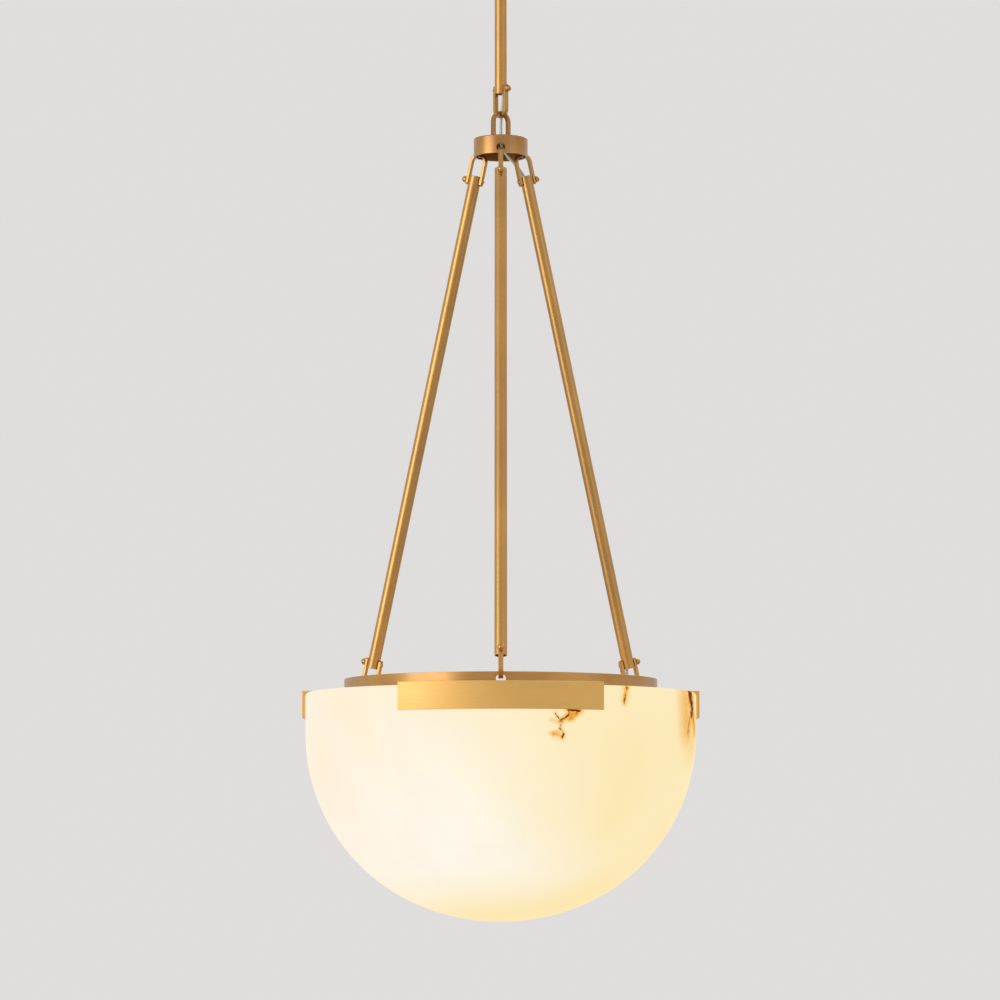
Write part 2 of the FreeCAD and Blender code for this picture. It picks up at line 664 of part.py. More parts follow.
def bowl_profile(offset):
    """Outline edges of one face of the bowl, from its top edge to the axis, set in by an offset."""
    wall = BOWL_RADIUS - offset
    side = bowl_side_radius - offset
    base = bowl_base_radius - offset
    lean = math.atan2(BOWL_SIDE_INSET, bowl_base_centre - bowl_side_centre)
    join = Vector(base * math.sin(lean), 0, bowl_base_centre - base * math.cos(lean))
    half_side = (math.pi / 2 + lean) / 2
    side_middle = Vector(BOWL_SIDE_INSET + side * math.sin(half_side), 0,
                         bowl_side_centre - side * math.cos(half_side))
    base_middle = Vector(base * math.sin(lean / 2), 0, bowl_base_centre - base * math.cos(lean / 2))
    lowest = Vector(0, 0, bowl_base_centre - base)
    top = Vector(wall, 0, rim)
    shoulder = Vector(wall, 0, bowl_side_centre)
    return [
        Part.LineSegment(top, shoulder).toShape(),
        Part.Arc(shoulder, side_middle, join).toShape(),
        Part.Arc(join, base_middle, lowest).toShape(),
    ], top, lowest


def bowl():
    """Stone bowl with a rounded rim and a hole for each clip stud."""
    outer_edges, outer_top, outer_low = bowl_profile(0)
    inner_edges, inner_top, inner_low = bowl_profile(BOWL_WALL)
    across = Part.LineSegment(inner_top, outer_top).toShape()
    through = Part.LineSegment(outer_low, inner_low).toShape()
    outline = Part.Wire(Part.__sortEdges__(outer_edges + [through] + inner_edges + [across]))
    body = Part.Face(outline).revolve(ORIGIN, UP, 360)
    body = round_edge(body, BOWL_RADIUS, rim, BOWL_RIM_ROUNDING)
    body = round_edge(body, bowl_inside, rim, BOWL_RIM_ROUNDING)
    for angle in ROD_ANGLES.values():
        for side in (-1, 1):
            outward = direction(angle + side * STUD_ANGLE)
            start = outward * (bowl_inside - BOWL_WALL) + UP * (rim - STUD_DROP)
            end = outward * (BOWL_RADIUS + BOWL_WALL) + UP * (rim - STUD_DROP)
            body = body.cut(cylinder(STUD_RADIUS + STUD_HOLE_CLEARANCE, start, end))
    return body


washer_face = bowl_inside - SCREW_CLEARANCE
nut_face = washer_face - STUD_WASHER_THICKNESS


def on_studs(shape, radius):
    """A copy of a shape on each clip stud, its Z pointing at the lamp's axis from a given radius."""
    copies = []
    for angle in ROD_ANGLES.values():
        for side in (-1, 1):
            outward = direction(angle + side * STUD_ANGLE)
            place = outward * radius + UP * (rim - STUD_DROP)
            copies.append(placed(shape, place, UP, -outward))
    return Part.makeCompound(copies)


def stud_washers():
    washer = tube(STUD_WASHER_RADIUS, STUD_RADIUS + THREAD_CLEARANCE, ORIGIN, UP * STUD_WASHER_THICKNESS)
    return on_studs(washer, washer_face)


def stud_nuts():
    nut = hex_nut(STUD_NUT_FLATS, STUD_NUT_HEIGHT, STUD_RADIUS + THREAD_CLEARANCE)
    return on_studs(nut, nut_face)


def lamp_plate():
    """Round plate under the ring on three stepped arms, with a hole for each lamp holder."""
    body = cylinder(PLATE_RADIUS, UP * plate_bottom, UP * plate_top)
    step_in = RING_RADIUS - ARM_SEAT
    thickness = PLATE_THICKNESS
    inner_end = PLATE_RADIUS / 2
    profile = [(inner_end, plate_top), (step_in - ARM_SLOPE, plate_top), (step_in, ring_bottom),
               (RING_RADIUS, ring_bottom), (RING_RADIUS, ring_bottom - thickness),
               (step_in + thickness / 2, ring_bottom - thickness),
               (step_in - ARM_SLOPE + thickness / 2, plate_bottom), (inner_end, plate_bottom)]
    for angle in ROD_ANGLES.values():
        side = direction(angle + 90) * (ARM_WIDTH / 2)
        corners = [direction(angle) * radius + UP * height - side for radius, height in profile]
        arm = Part.Face(Part.makePolygon(corners + corners[:1])).extrude(side * 2)
        hole = direction(angle) * ring_middle + UP * ring_bottom
        arm = arm.cut(cylinder(PAN_SCREW_RADIUS + SCREW_CLEARANCE, hole, hole - UP * thickness))
        body = body.fuse(arm)
    for angle in LAMP_ANGLES.values():
        hole = direction(angle) * LAMP_CIRCLE_RADIUS + UP * plate_top
        body = body.cut(cylinder(HOLDER_NECK_RADIUS + SCREW_CLEARANCE, hole, hole - UP * thickness))
    return body.removeSplitter()


def plate_screws():
    screws = []
    for angle in ROD_ANGLES.values():
        place = direction(angle) * ring_middle + UP * (ring_bottom - PLATE_THICKNESS)
        screws.append(pan_screw(plate_screw_length, place, direction(angle), UP))
    return Part.makeCompound(screws)


holder_bottom = plate_bottom - HOLDER_LENGTH
neck_length = PLATE_THICKNESS + HOLDER_NUT_HEIGHT


def lamp_holder(angle):
    """Lamp holder: a cup with a thick floor and a hollow neck that goes up through the plate."""
    centre = direction(angle) * LAMP_CIRCLE_RADIUS
    cup = cylinder(HOLDER_RADIUS, centre + UP * holder_bottom, centre + UP * plate_bottom)
    cup_roof = centre + UP * (plate_bottom - HOLDER_FLOOR)
    cup = cup.cut(cylinder(HOLDER_RADIUS - HOLDER_WALL, centre + UP * holder_bottom, cup_roof))
    neck_top = centre + UP * (plate_bottom + neck_length)
    neck = cylinder(HOLDER_NECK_RADIUS, centre + UP * plate_bottom, neck_top)
    return cup.fuse(neck).cut(cylinder(HOLDER_NECK_BORE_RADIUS, cup_roof, neck_top))


def holder_nuts():
    nut = hex_nut(HOLDER_NUT_FLATS, HOLDER_NUT_HEIGHT, HOLDER_NECK_RADIUS + THREAD_CLEARANCE)
    nuts = []
    for angle in LAMP_ANGLES.values():
        place = direction(angle) * LAMP_CIRCLE_RADIUS + UP * plate_top
        nuts.append(placed(nut, place, direction(angle), UP))
    return Part.makeCompound(nuts)


bulb_top = plate_bottom - HOLDER_FLOOR - THREAD_CLEARANCE
bulb_cap = HOLDER_RADIUS - HOLDER_WALL - THREAD_CLEARANCE


def bulb(angle):
    """Globe bulb, cap up: a straight cap in the holder, a flared neck and a round globe."""
    cap_end = holder_bottom
    neck_end = cap_end - BULB_NECK_LENGTH
    flare = math.sqrt(BULB_RADIUS ** 2 - bulb_cap ** 2)
    globe_centre = neck_end - flare
    edges = [
        Part.LineSegment(Vector(0, 0, bulb_top), Vector(bulb_cap, 0, bulb_top)).toShape(),
        Part.LineSegment(Vector(bulb_cap, 0, bulb_top), Vector(bulb_cap, 0, neck_end)).toShape(),
        Part.Arc(Vector(bulb_cap, 0, neck_end), Vector(BULB_RADIUS, 0, globe_centre),
                 Vector(0, 0, globe_centre - BULB_RADIUS)).toShape(),
        Part.LineSegment(Vector(0, 0, globe_centre - BULB_RADIUS), Vector(0, 0, bulb_top)).toShape(),
    ]
    body = Part.Face(Part.Wire(edges)).revolve(ORIGIN, UP, 360)
    body.translate(direction(angle) * LAMP_CIRCLE_RADIUS)
    return body


def lead_connector():
    """Round junction box on the middle of the lamp plate."""
    top = plate_top + CONNECTOR_HEIGHT
    body = cylinder(CONNECTOR_RADIUS, UP * plate_top, UP * top)
    return round_edge(body, CONNECTOR_RADIUS, top, CONNECTOR_EDGE_RADIUS)


def lamp_leads():
    """A lead from the connector over and down into the neck of each lamp holder."""
    leads = []
    level = plate_top + neck_length + LEAD_ARCH
    for name, angle in LAMP_ANGLES.items():
        outward = direction(angle)
        start = outward * (CONNECTOR_RADIUS + CORD_END_GAP) + UP * (plate_top + CONNECTOR_HEIGHT / 2)
        crest = outward * (LAMP_CIRCLE_RADIUS - 2 * LEAD_ARCH) + UP * level
        over = outward * LAMP_CIRCLE_RADIUS + UP * level
        end = outward * LAMP_CIRCLE_RADIUS + UP * (plate_bottom - HOLDER_FLOOR / 2)
        leads.append(cord([start, crest, over, end], LEAD_RADIUS, "lamp lead " + name))
    return Part.makeCompound(leads)


# The supply cord goes from the ceiling down the stem, behind the crossing of the two links, through the hub
# and down the right rod to the connector on the lamp plate. It is cut where a joint lets it flex.
feed_angle = ROD_ANGLES["right"]
feed_down = rod_axes(feed_angle)[0]
feed_side = direction(feed_angle + 90)
beside_bolt = BOLT_RADIUS + CORD_RADIUS + CORD_CLEARANCE
beside_strap = STRAP_WIDTH / 2 + CORD_RADIUS + CORD_CLEARANCE
stem_cord_side = loop_side * beside_bolt
link_cord_side = (loop_side - shackle_side) * beside_strap
stem_cord_end = stem_cord_side + stem_bolt_place
stem_exit = stem_cord_side + UP * (stem_end - CORD_LEAD)
link_pass = link_cord_side + UP * (loop_inside_top + STRAP_THICKNESS)
link_cord_start = (stem_exit + link_pass) * 0.5
rod_cord_start = hub_bolt_place(feed_angle) + feed_side * beside_bolt
rod_cord_end = ring_bolt_place(feed_angle) + feed_side * beside_bolt


def beside_arm(radius, height, sideways):
    """Point on the cord's way along the right arm of the lamp plate."""
    return direction(feed_angle) * radius + feed_side * sideways + UP * height


def stem_cord():
    top = UP * (web_top + HANGER_NUT_HEIGHT + BRACKET_THICKNESS)
    below_nipple = UP * (stem_top - NIPPLE_GRIP - CORD_LEAD)
    above_bolt = stem_cord_side + stem_bolt_place + UP * STEM_CORD_FOOT
    return cord([top, below_nipple, above_bolt, stem_cord_end], CORD_RADIUS, "stem cord")


def shackle_cord():
    return cord([stem_cord_end, stem_exit, link_cord_start], CORD_RADIUS, "shackle cord")


def link_cord():
    above_grommet = grommet_place + UP * GROMMET_RUN
    return cord([link_cord_start, link_pass, above_grommet, grommet_place], CORD_RADIUS, "link cord")


def feed_cord():
    turn = grommet_place - UP * (HUB_TOP_THICKNESS + LOOP_NUT_HEIGHT + LOOP_STUD_END + CORD_LEAD)
    above_rod = rod_cord_start - feed_down * (2 * TUBE_END_MARGIN)
    end = rod_cord_start - feed_down * CORD_CLEARANCE
    return cord([grommet_place, turn, above_rod, end], CORD_RADIUS, "feed cord")


def rod_cord():
    return cylinder(CORD_RADIUS, rod_cord_start, rod_cord_end)


def lamp_cord():
    """From the right rod's foot, inside the ring and over the stepped arm to the connector."""
    step_top = RING_RADIUS - ARM_SEAT
    points = [
        rod_cord_end + feed_down * CORD_CLEARANCE,
        rod_cord_end + feed_down * (TUBE_END_MARGIN + CORD_LEAD),
        beside_arm(ring_inside - RING_CORD_GAP, ring_top - RING_CORD_GAP, ARM_CORD_SIDE),
        beside_arm(step_top - 2 * ARM_CORD_GAP, ring_bottom - ARM_CORD_GAP, ARM_CORD_SIDE),
        beside_arm(step_top - ARM_SLOPE - 3 * ARM_CORD_GAP, plate_top + 2 * CORD_RADIUS, ARM_CORD_SIDE),
        beside_arm(CORD_FOOT_REACH, plate_top + CORD_RADIUS + CORD_CLEARANCE, CORD_FOOT_SIDE),
        beside_arm(CONNECTOR_RADIUS + CORD_END_GAP, plate_top + CONNECTOR_HEIGHT / 2, CORD_END_SIDE),
    ]
    return cord(points, CORD_RADIUS, "lamp cord")


NODES = {
    "ceiling_bracket": ceiling_bracket,
    "hanger_nipple": hanger_nipple,
    "hanger_nuts": hanger_nuts,
    "earth_screw": earth_screw,
    "stem": stem,
    "stem_cord": stem_cord,
    "canopy": canopy,
    "canopy_collar": canopy_collar,
    "collar_screw": collar_screw,
    "stem_shackle": stem_shackle,
    "stem_bolt": stem_bolt,
    "stem_nut": stem_nut,
    "shackle_cord": shackle_cord,
    "hub": hub,
    "hub_loop": hub_loop,
    "loop_nuts": loop_nuts,
    "hub_grommet": hub_grommet,
    "hub_bolts": hub_bolts,
    "hub_bolt_nuts": hub_bolt_nuts,
    "link_cord": link_cord,
    "feed_cord": feed_cord,
    "rod_cord": rod_cord,
    "ring": ring,
    "clip_pads": clip_pads,
    "ring_screws": ring_screws,
    "bowl": bowl,
    "stud_washers": stud_washers,
    "stud_nuts": stud_nuts,
    "lamp_plate": lamp_plate,
    "plate_screws": plate_screws,
    "holder_nuts": holder_nuts,
    "lead_connector": lead_connector,
    "lamp_leads": lamp_leads,
    "lamp_cord": lamp_cord,
}

ROD_NODES = {
    "hub_shackle": hub_shackle,
    "rod": rod,
    "ring_shackle": ring_shackle,
    "ring_bolt": ring_bolt,
    "ring_nut": ring_nut,
    "rim_clip": rim_clip,
}

LAMP_NODES = {
    "lamp_holder": lamp_holder,
    "bulb": bulb,
}


def save(name, shape):
    if not shape.isValid():
        raise ValueError(name + " isn't a valid shape")
    shape.exportStep("parts/" + name + ".step")


def main():
    os.makedirs("parts", exist_ok=True)
    for name, make in NODES.items():
        save(name, make())
    for group, angles in ((ROD_NODES, ROD_ANGLES), (LAMP_NODES, LAMP_ANGLES)):
        for kind, make in group.items():
            for side, angle in angles.items():
                save(kind + "_" + side, make(angle))
    tilt = math.degrees(rod_tilt)
    print("rim", round(rim, 2), "bowl bottom", round(bowl_bottom, 2), "rod tilt", round(tilt, 3))


main()
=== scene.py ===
"""Dressed model of an alabaster bowl pendant light, laid out as an add-on and run as a script."""

import json
import math
from contextlib import contextmanager

import bmesh
import bpy
from mathutils import Matrix, Vector, noise


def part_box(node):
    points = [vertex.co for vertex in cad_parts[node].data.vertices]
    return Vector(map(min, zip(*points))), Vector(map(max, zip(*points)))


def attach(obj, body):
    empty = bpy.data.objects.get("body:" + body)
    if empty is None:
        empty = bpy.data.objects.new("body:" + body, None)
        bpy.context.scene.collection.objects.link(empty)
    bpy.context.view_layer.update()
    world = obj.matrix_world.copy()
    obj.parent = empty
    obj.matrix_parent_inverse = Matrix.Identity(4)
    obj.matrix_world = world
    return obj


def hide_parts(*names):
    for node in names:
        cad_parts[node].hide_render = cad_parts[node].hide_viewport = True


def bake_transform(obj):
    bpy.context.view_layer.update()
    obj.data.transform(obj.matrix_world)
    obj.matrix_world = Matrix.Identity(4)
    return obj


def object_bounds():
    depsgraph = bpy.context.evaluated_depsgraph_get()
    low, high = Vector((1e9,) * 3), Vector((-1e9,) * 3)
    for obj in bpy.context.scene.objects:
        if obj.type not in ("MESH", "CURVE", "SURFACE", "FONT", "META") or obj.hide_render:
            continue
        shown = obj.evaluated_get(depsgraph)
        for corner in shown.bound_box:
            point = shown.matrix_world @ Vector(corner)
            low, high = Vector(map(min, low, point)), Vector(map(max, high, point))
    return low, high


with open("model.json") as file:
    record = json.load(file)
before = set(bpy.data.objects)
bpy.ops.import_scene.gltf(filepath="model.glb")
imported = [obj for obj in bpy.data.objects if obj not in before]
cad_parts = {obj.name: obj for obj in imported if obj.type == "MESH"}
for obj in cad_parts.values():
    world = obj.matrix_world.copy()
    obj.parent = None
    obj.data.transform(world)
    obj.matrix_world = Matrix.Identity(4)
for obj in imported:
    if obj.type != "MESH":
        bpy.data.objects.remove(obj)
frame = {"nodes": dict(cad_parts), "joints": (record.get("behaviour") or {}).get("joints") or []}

bl_info = {
    "name": "Alabaster bowl pendant",
    "version": (1, 0, 0),
    "blender": (4, 5, 0),
    "location": "View3D > Sidebar > Pendant",
    "description": "Models the stone bowl, the brass hardware, the cord and the stage of a pendant light",
    "category": "Add Mesh",
}

MM = 0.001
UP = Vector((0, 0, 1))
RIGHT = Vector((1, 0, 0))
FULL_TURN = 2 * math.pi

# Degrees round the lamp's axis to its rods and its bulbs, and from a clip's middle to its studs
SIDES = {"front": 270.0, "right": 30.0, "left": 150.0}
LAMPS = {"right": 330.0, "rear": 90.0, "left": 210.0}
STUD_ANGLE = 16.0

# Rod that the cord goes down in
CORD_SIDE = "right"

# Steps round the small pieces, the ring and the bowl
ROUND_STEPS = 48
RING_STEPS = 240
BOWL_STEPS = 360

# Steps up the bowl's outer and inner base, its upright band and each edge of its rim, and cuts beside a crack
OUTER_ROWS = 22
INNER_ROWS = 10
BAND_ROWS = 10
RIM_STEPS = 5
VEIN_CUTS = 5

# Steps of a strap's bend, of its round end and of a domed head
BEND_STEPS = 24
LEG_STEPS = 7
DOME_STEPS = 6

# Rounding of a strap's end as a share of its width, and the straight share of a domed head's height
LEG_ROUNDING = 0.47
DOME_FOOT = 0.35

# Half widths of a crack over which its rust fades out, and the seed that makes it stray alike in each run
CRACK_FADE = 2.3
CRACK_SEED = 1

# Faces that meet at less than this angle are shaded smooth
SMOOTH_ANGLE = math.radians(35)

# Edges shorter than the first are merged after a cut, and corners nearer than the second are one corner
SHORTEST_EDGE = 0.15 * MM
SAME_PLACE = 1e-6

# An edge lies along an axis when its unit direction has more than this share of it
NEARLY_ALONG = 0.9

# The palest floor, as a share of its colour, and the width of the camera's sensor in millimetres
FLOOR_MOTTLE = 1.02
SENSOR_WIDTH = 36

# Heights on the lamp's axis, read from the frame
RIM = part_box("bowl")[1].z
HUB_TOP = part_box("hub")[1].z
HUB_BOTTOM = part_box("hub")[0].z
STEM_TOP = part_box("stem")[1].z
STEM_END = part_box("stem")[0].z
RING_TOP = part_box("ring")[1].z
RING_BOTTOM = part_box("ring")[0].z
PLATE_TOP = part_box("lead_connector")[0].z
HOLDER_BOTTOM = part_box("lamp_holder_rear")[0].z
BULB_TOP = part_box("bulb_rear")[1].z
CAD_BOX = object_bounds()

# Middle of a painted hotspot of the bulbs' light, where the stone and its glow are painted whitest, low on
# the bowl's front left
BULB_HOTSPOT = (-0.05, -0.14, RIM - 0.155)

# Softboxes: place and size in metres, power in watts
SOFTBOXES = {
    "key_softbox": ((-2.6, -1.9, -0.3), 2.0, 34),
    "fill_softbox": ((2.4, -1.8, -0.1), 1.8, 3),
    "back_softbox": ((0.8, 2.2, 1.1), 1.4, 16),
}


def joint(name):
    """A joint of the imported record, by its name."""
    for entry in frame["joints"]:
        if entry["name"] == name:
            return entry
    raise KeyError(name)


def direction(angle):
    """Level unit vector at an angle in degrees, measured from +X towards +Y."""
    return Vector((math.cos(math.radians(angle)), math.sin(math.radians(angle)), 0))


def rod_lines(side):
    """A rod's upper and lower bolt places, the way down along it and the way square to it, outwards."""
    sway = joint(side + "_rod_sway")
    across = Vector(sway["axis"]).normalized()
    outward = Vector((across.x, across.y, 0)).normalized()
    down = outward * across.z - UP * math.hypot(across.x, across.y)
    upper = Vector(sway["pos_m"])
    low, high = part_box("ring_bolt_" + side)
    run = ((low + high) / 2 - upper).dot(down)
    return upper, upper + down * run, down, across


SHACKLE_SIDE = Vector(joint("stem_swing")["axis"]).normalized()
LOOP_SIDE = Vector(joint("link_swing")["axis"]).normalized()
STEM_BOLT_PLACE = Vector(joint("stem_swing")["pos_m"])
STEM_BEND_CENTRE = Vector(joint("link_swing")["pos_m"])


# Settings that a user would change

def length(name, description, default):
    return bpy.props.FloatProperty(name=name, description=description, default=default, min=0.0,
                                   subtype="DISTANCE", unit="LENGTH", precision=4)


def tint(name, description, default):
    return bpy.props.FloatVectorProperty(name=name, description=description, default=default, size=3,
                                         min=0.0, max=1.0, subtype="COLOR")


def share(name, description, default):
    return bpy.props.FloatProperty(name=name, description=description, default=default, min=0.0, max=1.0,
                                   subtype="FACTOR")


def slant(name, description, degrees):
    return bpy.props.FloatProperty(name=name, description=description, default=math.radians(degrees),
                                   subtype="ANGLE", unit="ROTATION")


class PendantBowlSettings(bpy.types.PropertyGroup):
    radius: length("Radius", "Outer radius of the bowl at its rim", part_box("bowl")[1].x)
    wall: length("Wall", "Thickness of the stone", 12 * MM)
    straight: length("Straight side", "Depth of the upright band under the rim", 41 * MM)
    side_inset: length("Side inset", "Distance from the axis to the centre of the side's arc", 10 * MM)
    flattening: length("Flattening", "Radius of the base's arc less that of the side's arc", 25 * MM)
    rim_rounding: length("Rim rounding", "Radius of both edges of the rim", 3 * MM)
    stud_drop: length("Stud drop", "Height of the rim over the clip studs", 13 * MM)
    stud_hole: length("Stud hole", "Radius of the hole for a clip stud", 3.5 * MM)
    vein_depth: length("Vein depth", "How far under the rim the veins reach", 80 * MM)
    vein_margin: length("Vein margin", "Width of the finer mesh beside a crack", 5 * MM)
    vein_wander: length("Vein wander", "How far a crack strays from its run", 0.8 * MM)
    vein_wave: length("Vein wave", "Distance over which a crack strays and returns", 4 * MM)
    stone_white: tint("White stone", "Palest clouds of the stone", (0.14, 0.13, 0.11))
    stone_honey: tint("Honey stone", "Warm clouds of the stone", (0.14, 0.115, 0.065))
    glow_white: tint("White glow", "Light through the palest stone", (1.0, 0.955, 0.84))
    glow_honey: tint("Honey glow", "Light through the warm stone", (1.0, 0.82, 0.45))
    # Painted light: this tint of the left side stands for light falling from the left
    left_light_tint: tint("Blush", "Tint of the left side's stone", (0.985, 0.95, 1.0))
    vein: tint("Vein", "Rust in the cracks of the stone", (0.11, 0.020, 0.001))
    stain_gold: tint("Golden stain", "Share of light that passes a faint stain", (0.96, 0.60, 0.10))
    stain_amber: tint("Amber stain", "Share of that light that passes its heart", (0.85, 0.68, 0.50))
    glow: share("Glow", "Strength of the light through the stone", 0.90)


class PendantBrassSettings(bpy.types.PropertyGroup):
    # The lit colours are painted light on the clips and canopy, the shaded colours painted shade on the
    # tubes, straps, hub and ring, and the deep-shade colour deeper painted shade on the hub, its loop and the
    # ring; between its two colours each piece's tone differs at random
    polished: tint("Polished brass", "Clips and canopy where they are rubbed", (0.88, 0.53, 0.16))
    bright: tint("Bright brass", "Clips and canopy elsewhere", (0.78, 0.49, 0.145))
    aged: tint("Aged brass", "Tubes, straps, hub and ring where they are rubbed", (0.62, 0.34, 0.10))
    toned: tint("Toned brass", "Tubes and straps elsewhere", (0.50, 0.27, 0.08))
    browned: tint("Browned brass", "Hub, its loop and ring elsewhere", (0.39, 0.185, 0.062))
    satin: share("Satin", "Roughness of the clips and the canopy", 0.54)
    polish: share("Polish", "Roughness of the other brass", 0.35)
    lacquer: share("Lacquer", "Weight of the clear lacquer", 0.3)
    lacquer_haze: share("Lacquer haze", "Roughness of the clear lacquer", 0.3)
    ease: length("Eased edge", "Rounding of the hardware's edges", 0.4 * MM)


class PendantHardwareSettings(bpy.types.PropertyGroup):
    strap_width: length("Strap width", "Width of the bent straps", 5 * MM)
    strap_thickness: length("Strap thickness", "Thickness of the bent straps", 3 * MM)
    strap_gap: length("Strap gap", "Room between a strap's leg and its tube", 0.3 * MM)
    tube_radius: length("Tube radius", "Radius of the stem and the rods", 6.35 * MM)
    rod_wall: length("Rod wall", "Wall of the rods", 1.0 * MM)
    stem_wall: length("Stem wall", "Wall of the stem", 1.2 * MM)
    end_margin: length("End margin", "Distance from a bolt to the end of its tube", 5 * MM)
    throat: length("Throat", "Distance from a rod's end to the inside of its strap's bend", 20.5 * MM)
    loop_gap: length("Loop gap", "Room between the legs of the hub's loop", 17 * MM)
    bolt: length("Bolt", "Radius of a bolt's shank", 1.5 * MM)
    bolt_room: length("Bolt room", "Room between a bolt and its hole", 0.08 * MM)
    bolt_head: length("Bolt head", "Radius of a bolt's head", 2.5 * MM)
    bolt_head_height: length("Bolt head height", "Height of a bolt's head", 1.2 * MM)
    bolt_tip: length("Bolt tip", "Length of a bolt inside its cap nut", 3.5 * MM)
    nut: length("Cap nut", "Radius of a cap nut", 3.5 * MM)
    nut_height: length("Cap nut height", "Height of a cap nut", 5.5 * MM)
    nut_depth: length("Cap nut depth", "Depth of a cap nut's thread", 3.6 * MM)
    loop_stud: length("Loop stud", "Radius of the studs under the hub's loop", 1.4 * MM)
    loop_stud_length: length("Loop stud length", "Length of the studs under the hub's loop", 6.4 * MM)
    thread_room: length("Thread room", "Room round a thread or a bush in its hole", 0.1 * MM)


class PendantFrameSettings(bpy.types.PropertyGroup):
    ring_radius: length("Ring radius", "Outer radius of the ring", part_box("ring")[1].x)
    ring_thickness: length("Ring thickness", "Thickness of the ring", 6 * MM)
    ring_hole: length("Ring hole", "Radius of a shackle's hole in the ring", 5 * MM)
    hole_drop: length("Hole drop", "From the ring's top to the middle of a hole", 7 * MM)
    ring_ease: length("Ring easing", "Rounding of the ring's edges and holes", 0.8 * MM)
    seat_gap: length("Seat gap", "Room between the ring and a clip's tab", 0.1 * MM)
    clip_angle: slant("Clip angle", "Angle that a clip spans", 60)
    clip_thickness: length("Clip thickness", "Thickness of a clip's tab and flange", 2 * MM)
    clip_ease: length("Clip easing", "Rounding of a clip's edges", 0.5 * MM)
    tab_drop: length("Tab drop", "From the rim down to the end of a clip's tab", 4 * MM)
    apron_gap: length("Apron gap", "Room between the bowl and a clip's apron", 1.3 * MM)
    apron_thickness: length("Apron thickness", "Thickness of a clip's apron", 2.5 * MM)
    apron_drop: length("Apron drop", "From the rim down to the end of a clip's apron", 25 * MM)
    pad_thickness: length("Pad thickness", "Thickness of the soft pads", 0.8 * MM)
    pad_inset: length("Pad inset", "From each edge of the rim to a pad", 4.5 * MM)
    stud: length("Stud", "Radius of a clip's studs", 2.5 * MM)
    stud_reach: length("Stud reach", "How far a stud stands out of the bowl's inner face", 7.3 * MM)
    washer: length("Washer", "Radius of the soft washers", 7 * MM)
    washer_thickness: length("Washer thickness", "Thickness of the soft washers", 1.5 * MM)
    washer_gap: length("Washer gap", "Room between a washer and the stone", 0.3 * MM)
    hub_radius: length("Hub radius", "Outer radius of the hub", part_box("hub")[1].x)
    hub_wall: length("Hub wall", "Thickness of the hub's wall", 2.5 * MM)
    hub_top_thickness: length("Hub top", "Thickness of the hub's top", 3 * MM)
    hub_rounding: length("Hub rounding", "Radius of the hub's upper edge", 1 * MM)
    hub_hole: length("Hub hole", "Radius of a shackle's hole in the hub", 4.5 * MM)
    hub_hole_rise: length("Hub hole rise", "From the hub's lower edge to the middle of a hole", 6 * MM)
    bush_setback: length("Bush setback", "From the lamp's axis to the cord's bush", 8 * MM)
    bush_neck: length("Bush neck", "Radius of the cord bush's neck", 3.2 * MM)
    bush_flange: length("Bush flange", "Radius of the cord bush's flange", 4.4 * MM)
    bush_height: length("Bush height", "Height of the cord bush's flange", 1.2 * MM)
    bush_gap: length("Bush gap", "Room between the cord and its bush", 0.25 * MM)
    canopy_radius: length("Canopy radius", "Radius of the ceiling canopy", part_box("canopy")[1].x)
    canopy_wall: length("Canopy wall", "Thickness of the canopy", 1.5 * MM)
    canopy_rounding: length("Canopy rounding", "Radius of the canopy's lower edge", 4 * MM)
    collar_radius: length("Collar radius", "Radius of the slip collar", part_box("canopy_collar")[1].x)
    slip_gap: length("Slip gap", "Room between the stem and what slides on it", 0.3 * MM)


class PendantLampSettings(bpy.types.PropertyGroup):
    circle: length("Lamp circle", "From the lamp's axis to a bulb's axis", 55 * MM)
    globe: length("Globe", "Radius of a bulb's globe", 22.5 * MM)
    cap: length("Cap", "Radius of a bulb's cap", 11.9 * MM)
    neck_length: length("Neck", "Length of a bulb's straight neck under its holder", 16 * MM)


class PendantCordSettings(bpy.types.PropertyGroup):
    radius: length("Radius", "Radius of the supply cord", 1.6 * MM)
    lead_radius: length("Lead radius", "Radius of the lamps' leads", 1.1 * MM)
    gap: length("Gap", "Room between the cord and what it passes", 0.25 * MM)
    lead_in: length("Lead-in", "Straight cord past the end of what it leaves", 4 * MM)
    stem_foot: length("Stem foot", "Straight cord over the stem's bolt", 33 * MM)
    bush_run: length("Bush run", "Straight cord over and under the hub's bush", 10.4 * MM)
    arm_seat: length("Arm seat", "From the ring's outer face to the step in the plate's arm", 22 * MM)
    arm_slope: length("Arm slope", "Length of the step in the plate's arm", 16 * MM)
    arm_gap: length("Arm gap", "From the cord to the ring and to that step", 4 * MM)
    arm_side: length("Arm side", "From the middle of the arm to the cord beside it", 6 * MM)
    plate_reach: length("Plate reach", "From the lamp's axis to where the cord meets the plate", 60 * MM)
    end_gap: length("End gap", "Room between a cord's end and the connector", 0.5 * MM)
    lead_arch: length("Lead arch", "Height of a lamp lead's arch over the plate", 15 * MM)
    lead_foot: length("Lead foot", "Depth of a lamp lead's end under the plate's top", 7 * MM)
    sleeve: tint("Sleeve", "Colour of the clear sleeve", (0.80, 0.81, 0.70))
    copper: tint("Strands", "Colour of the strands that show through", (0.60, 0.58, 0.44))


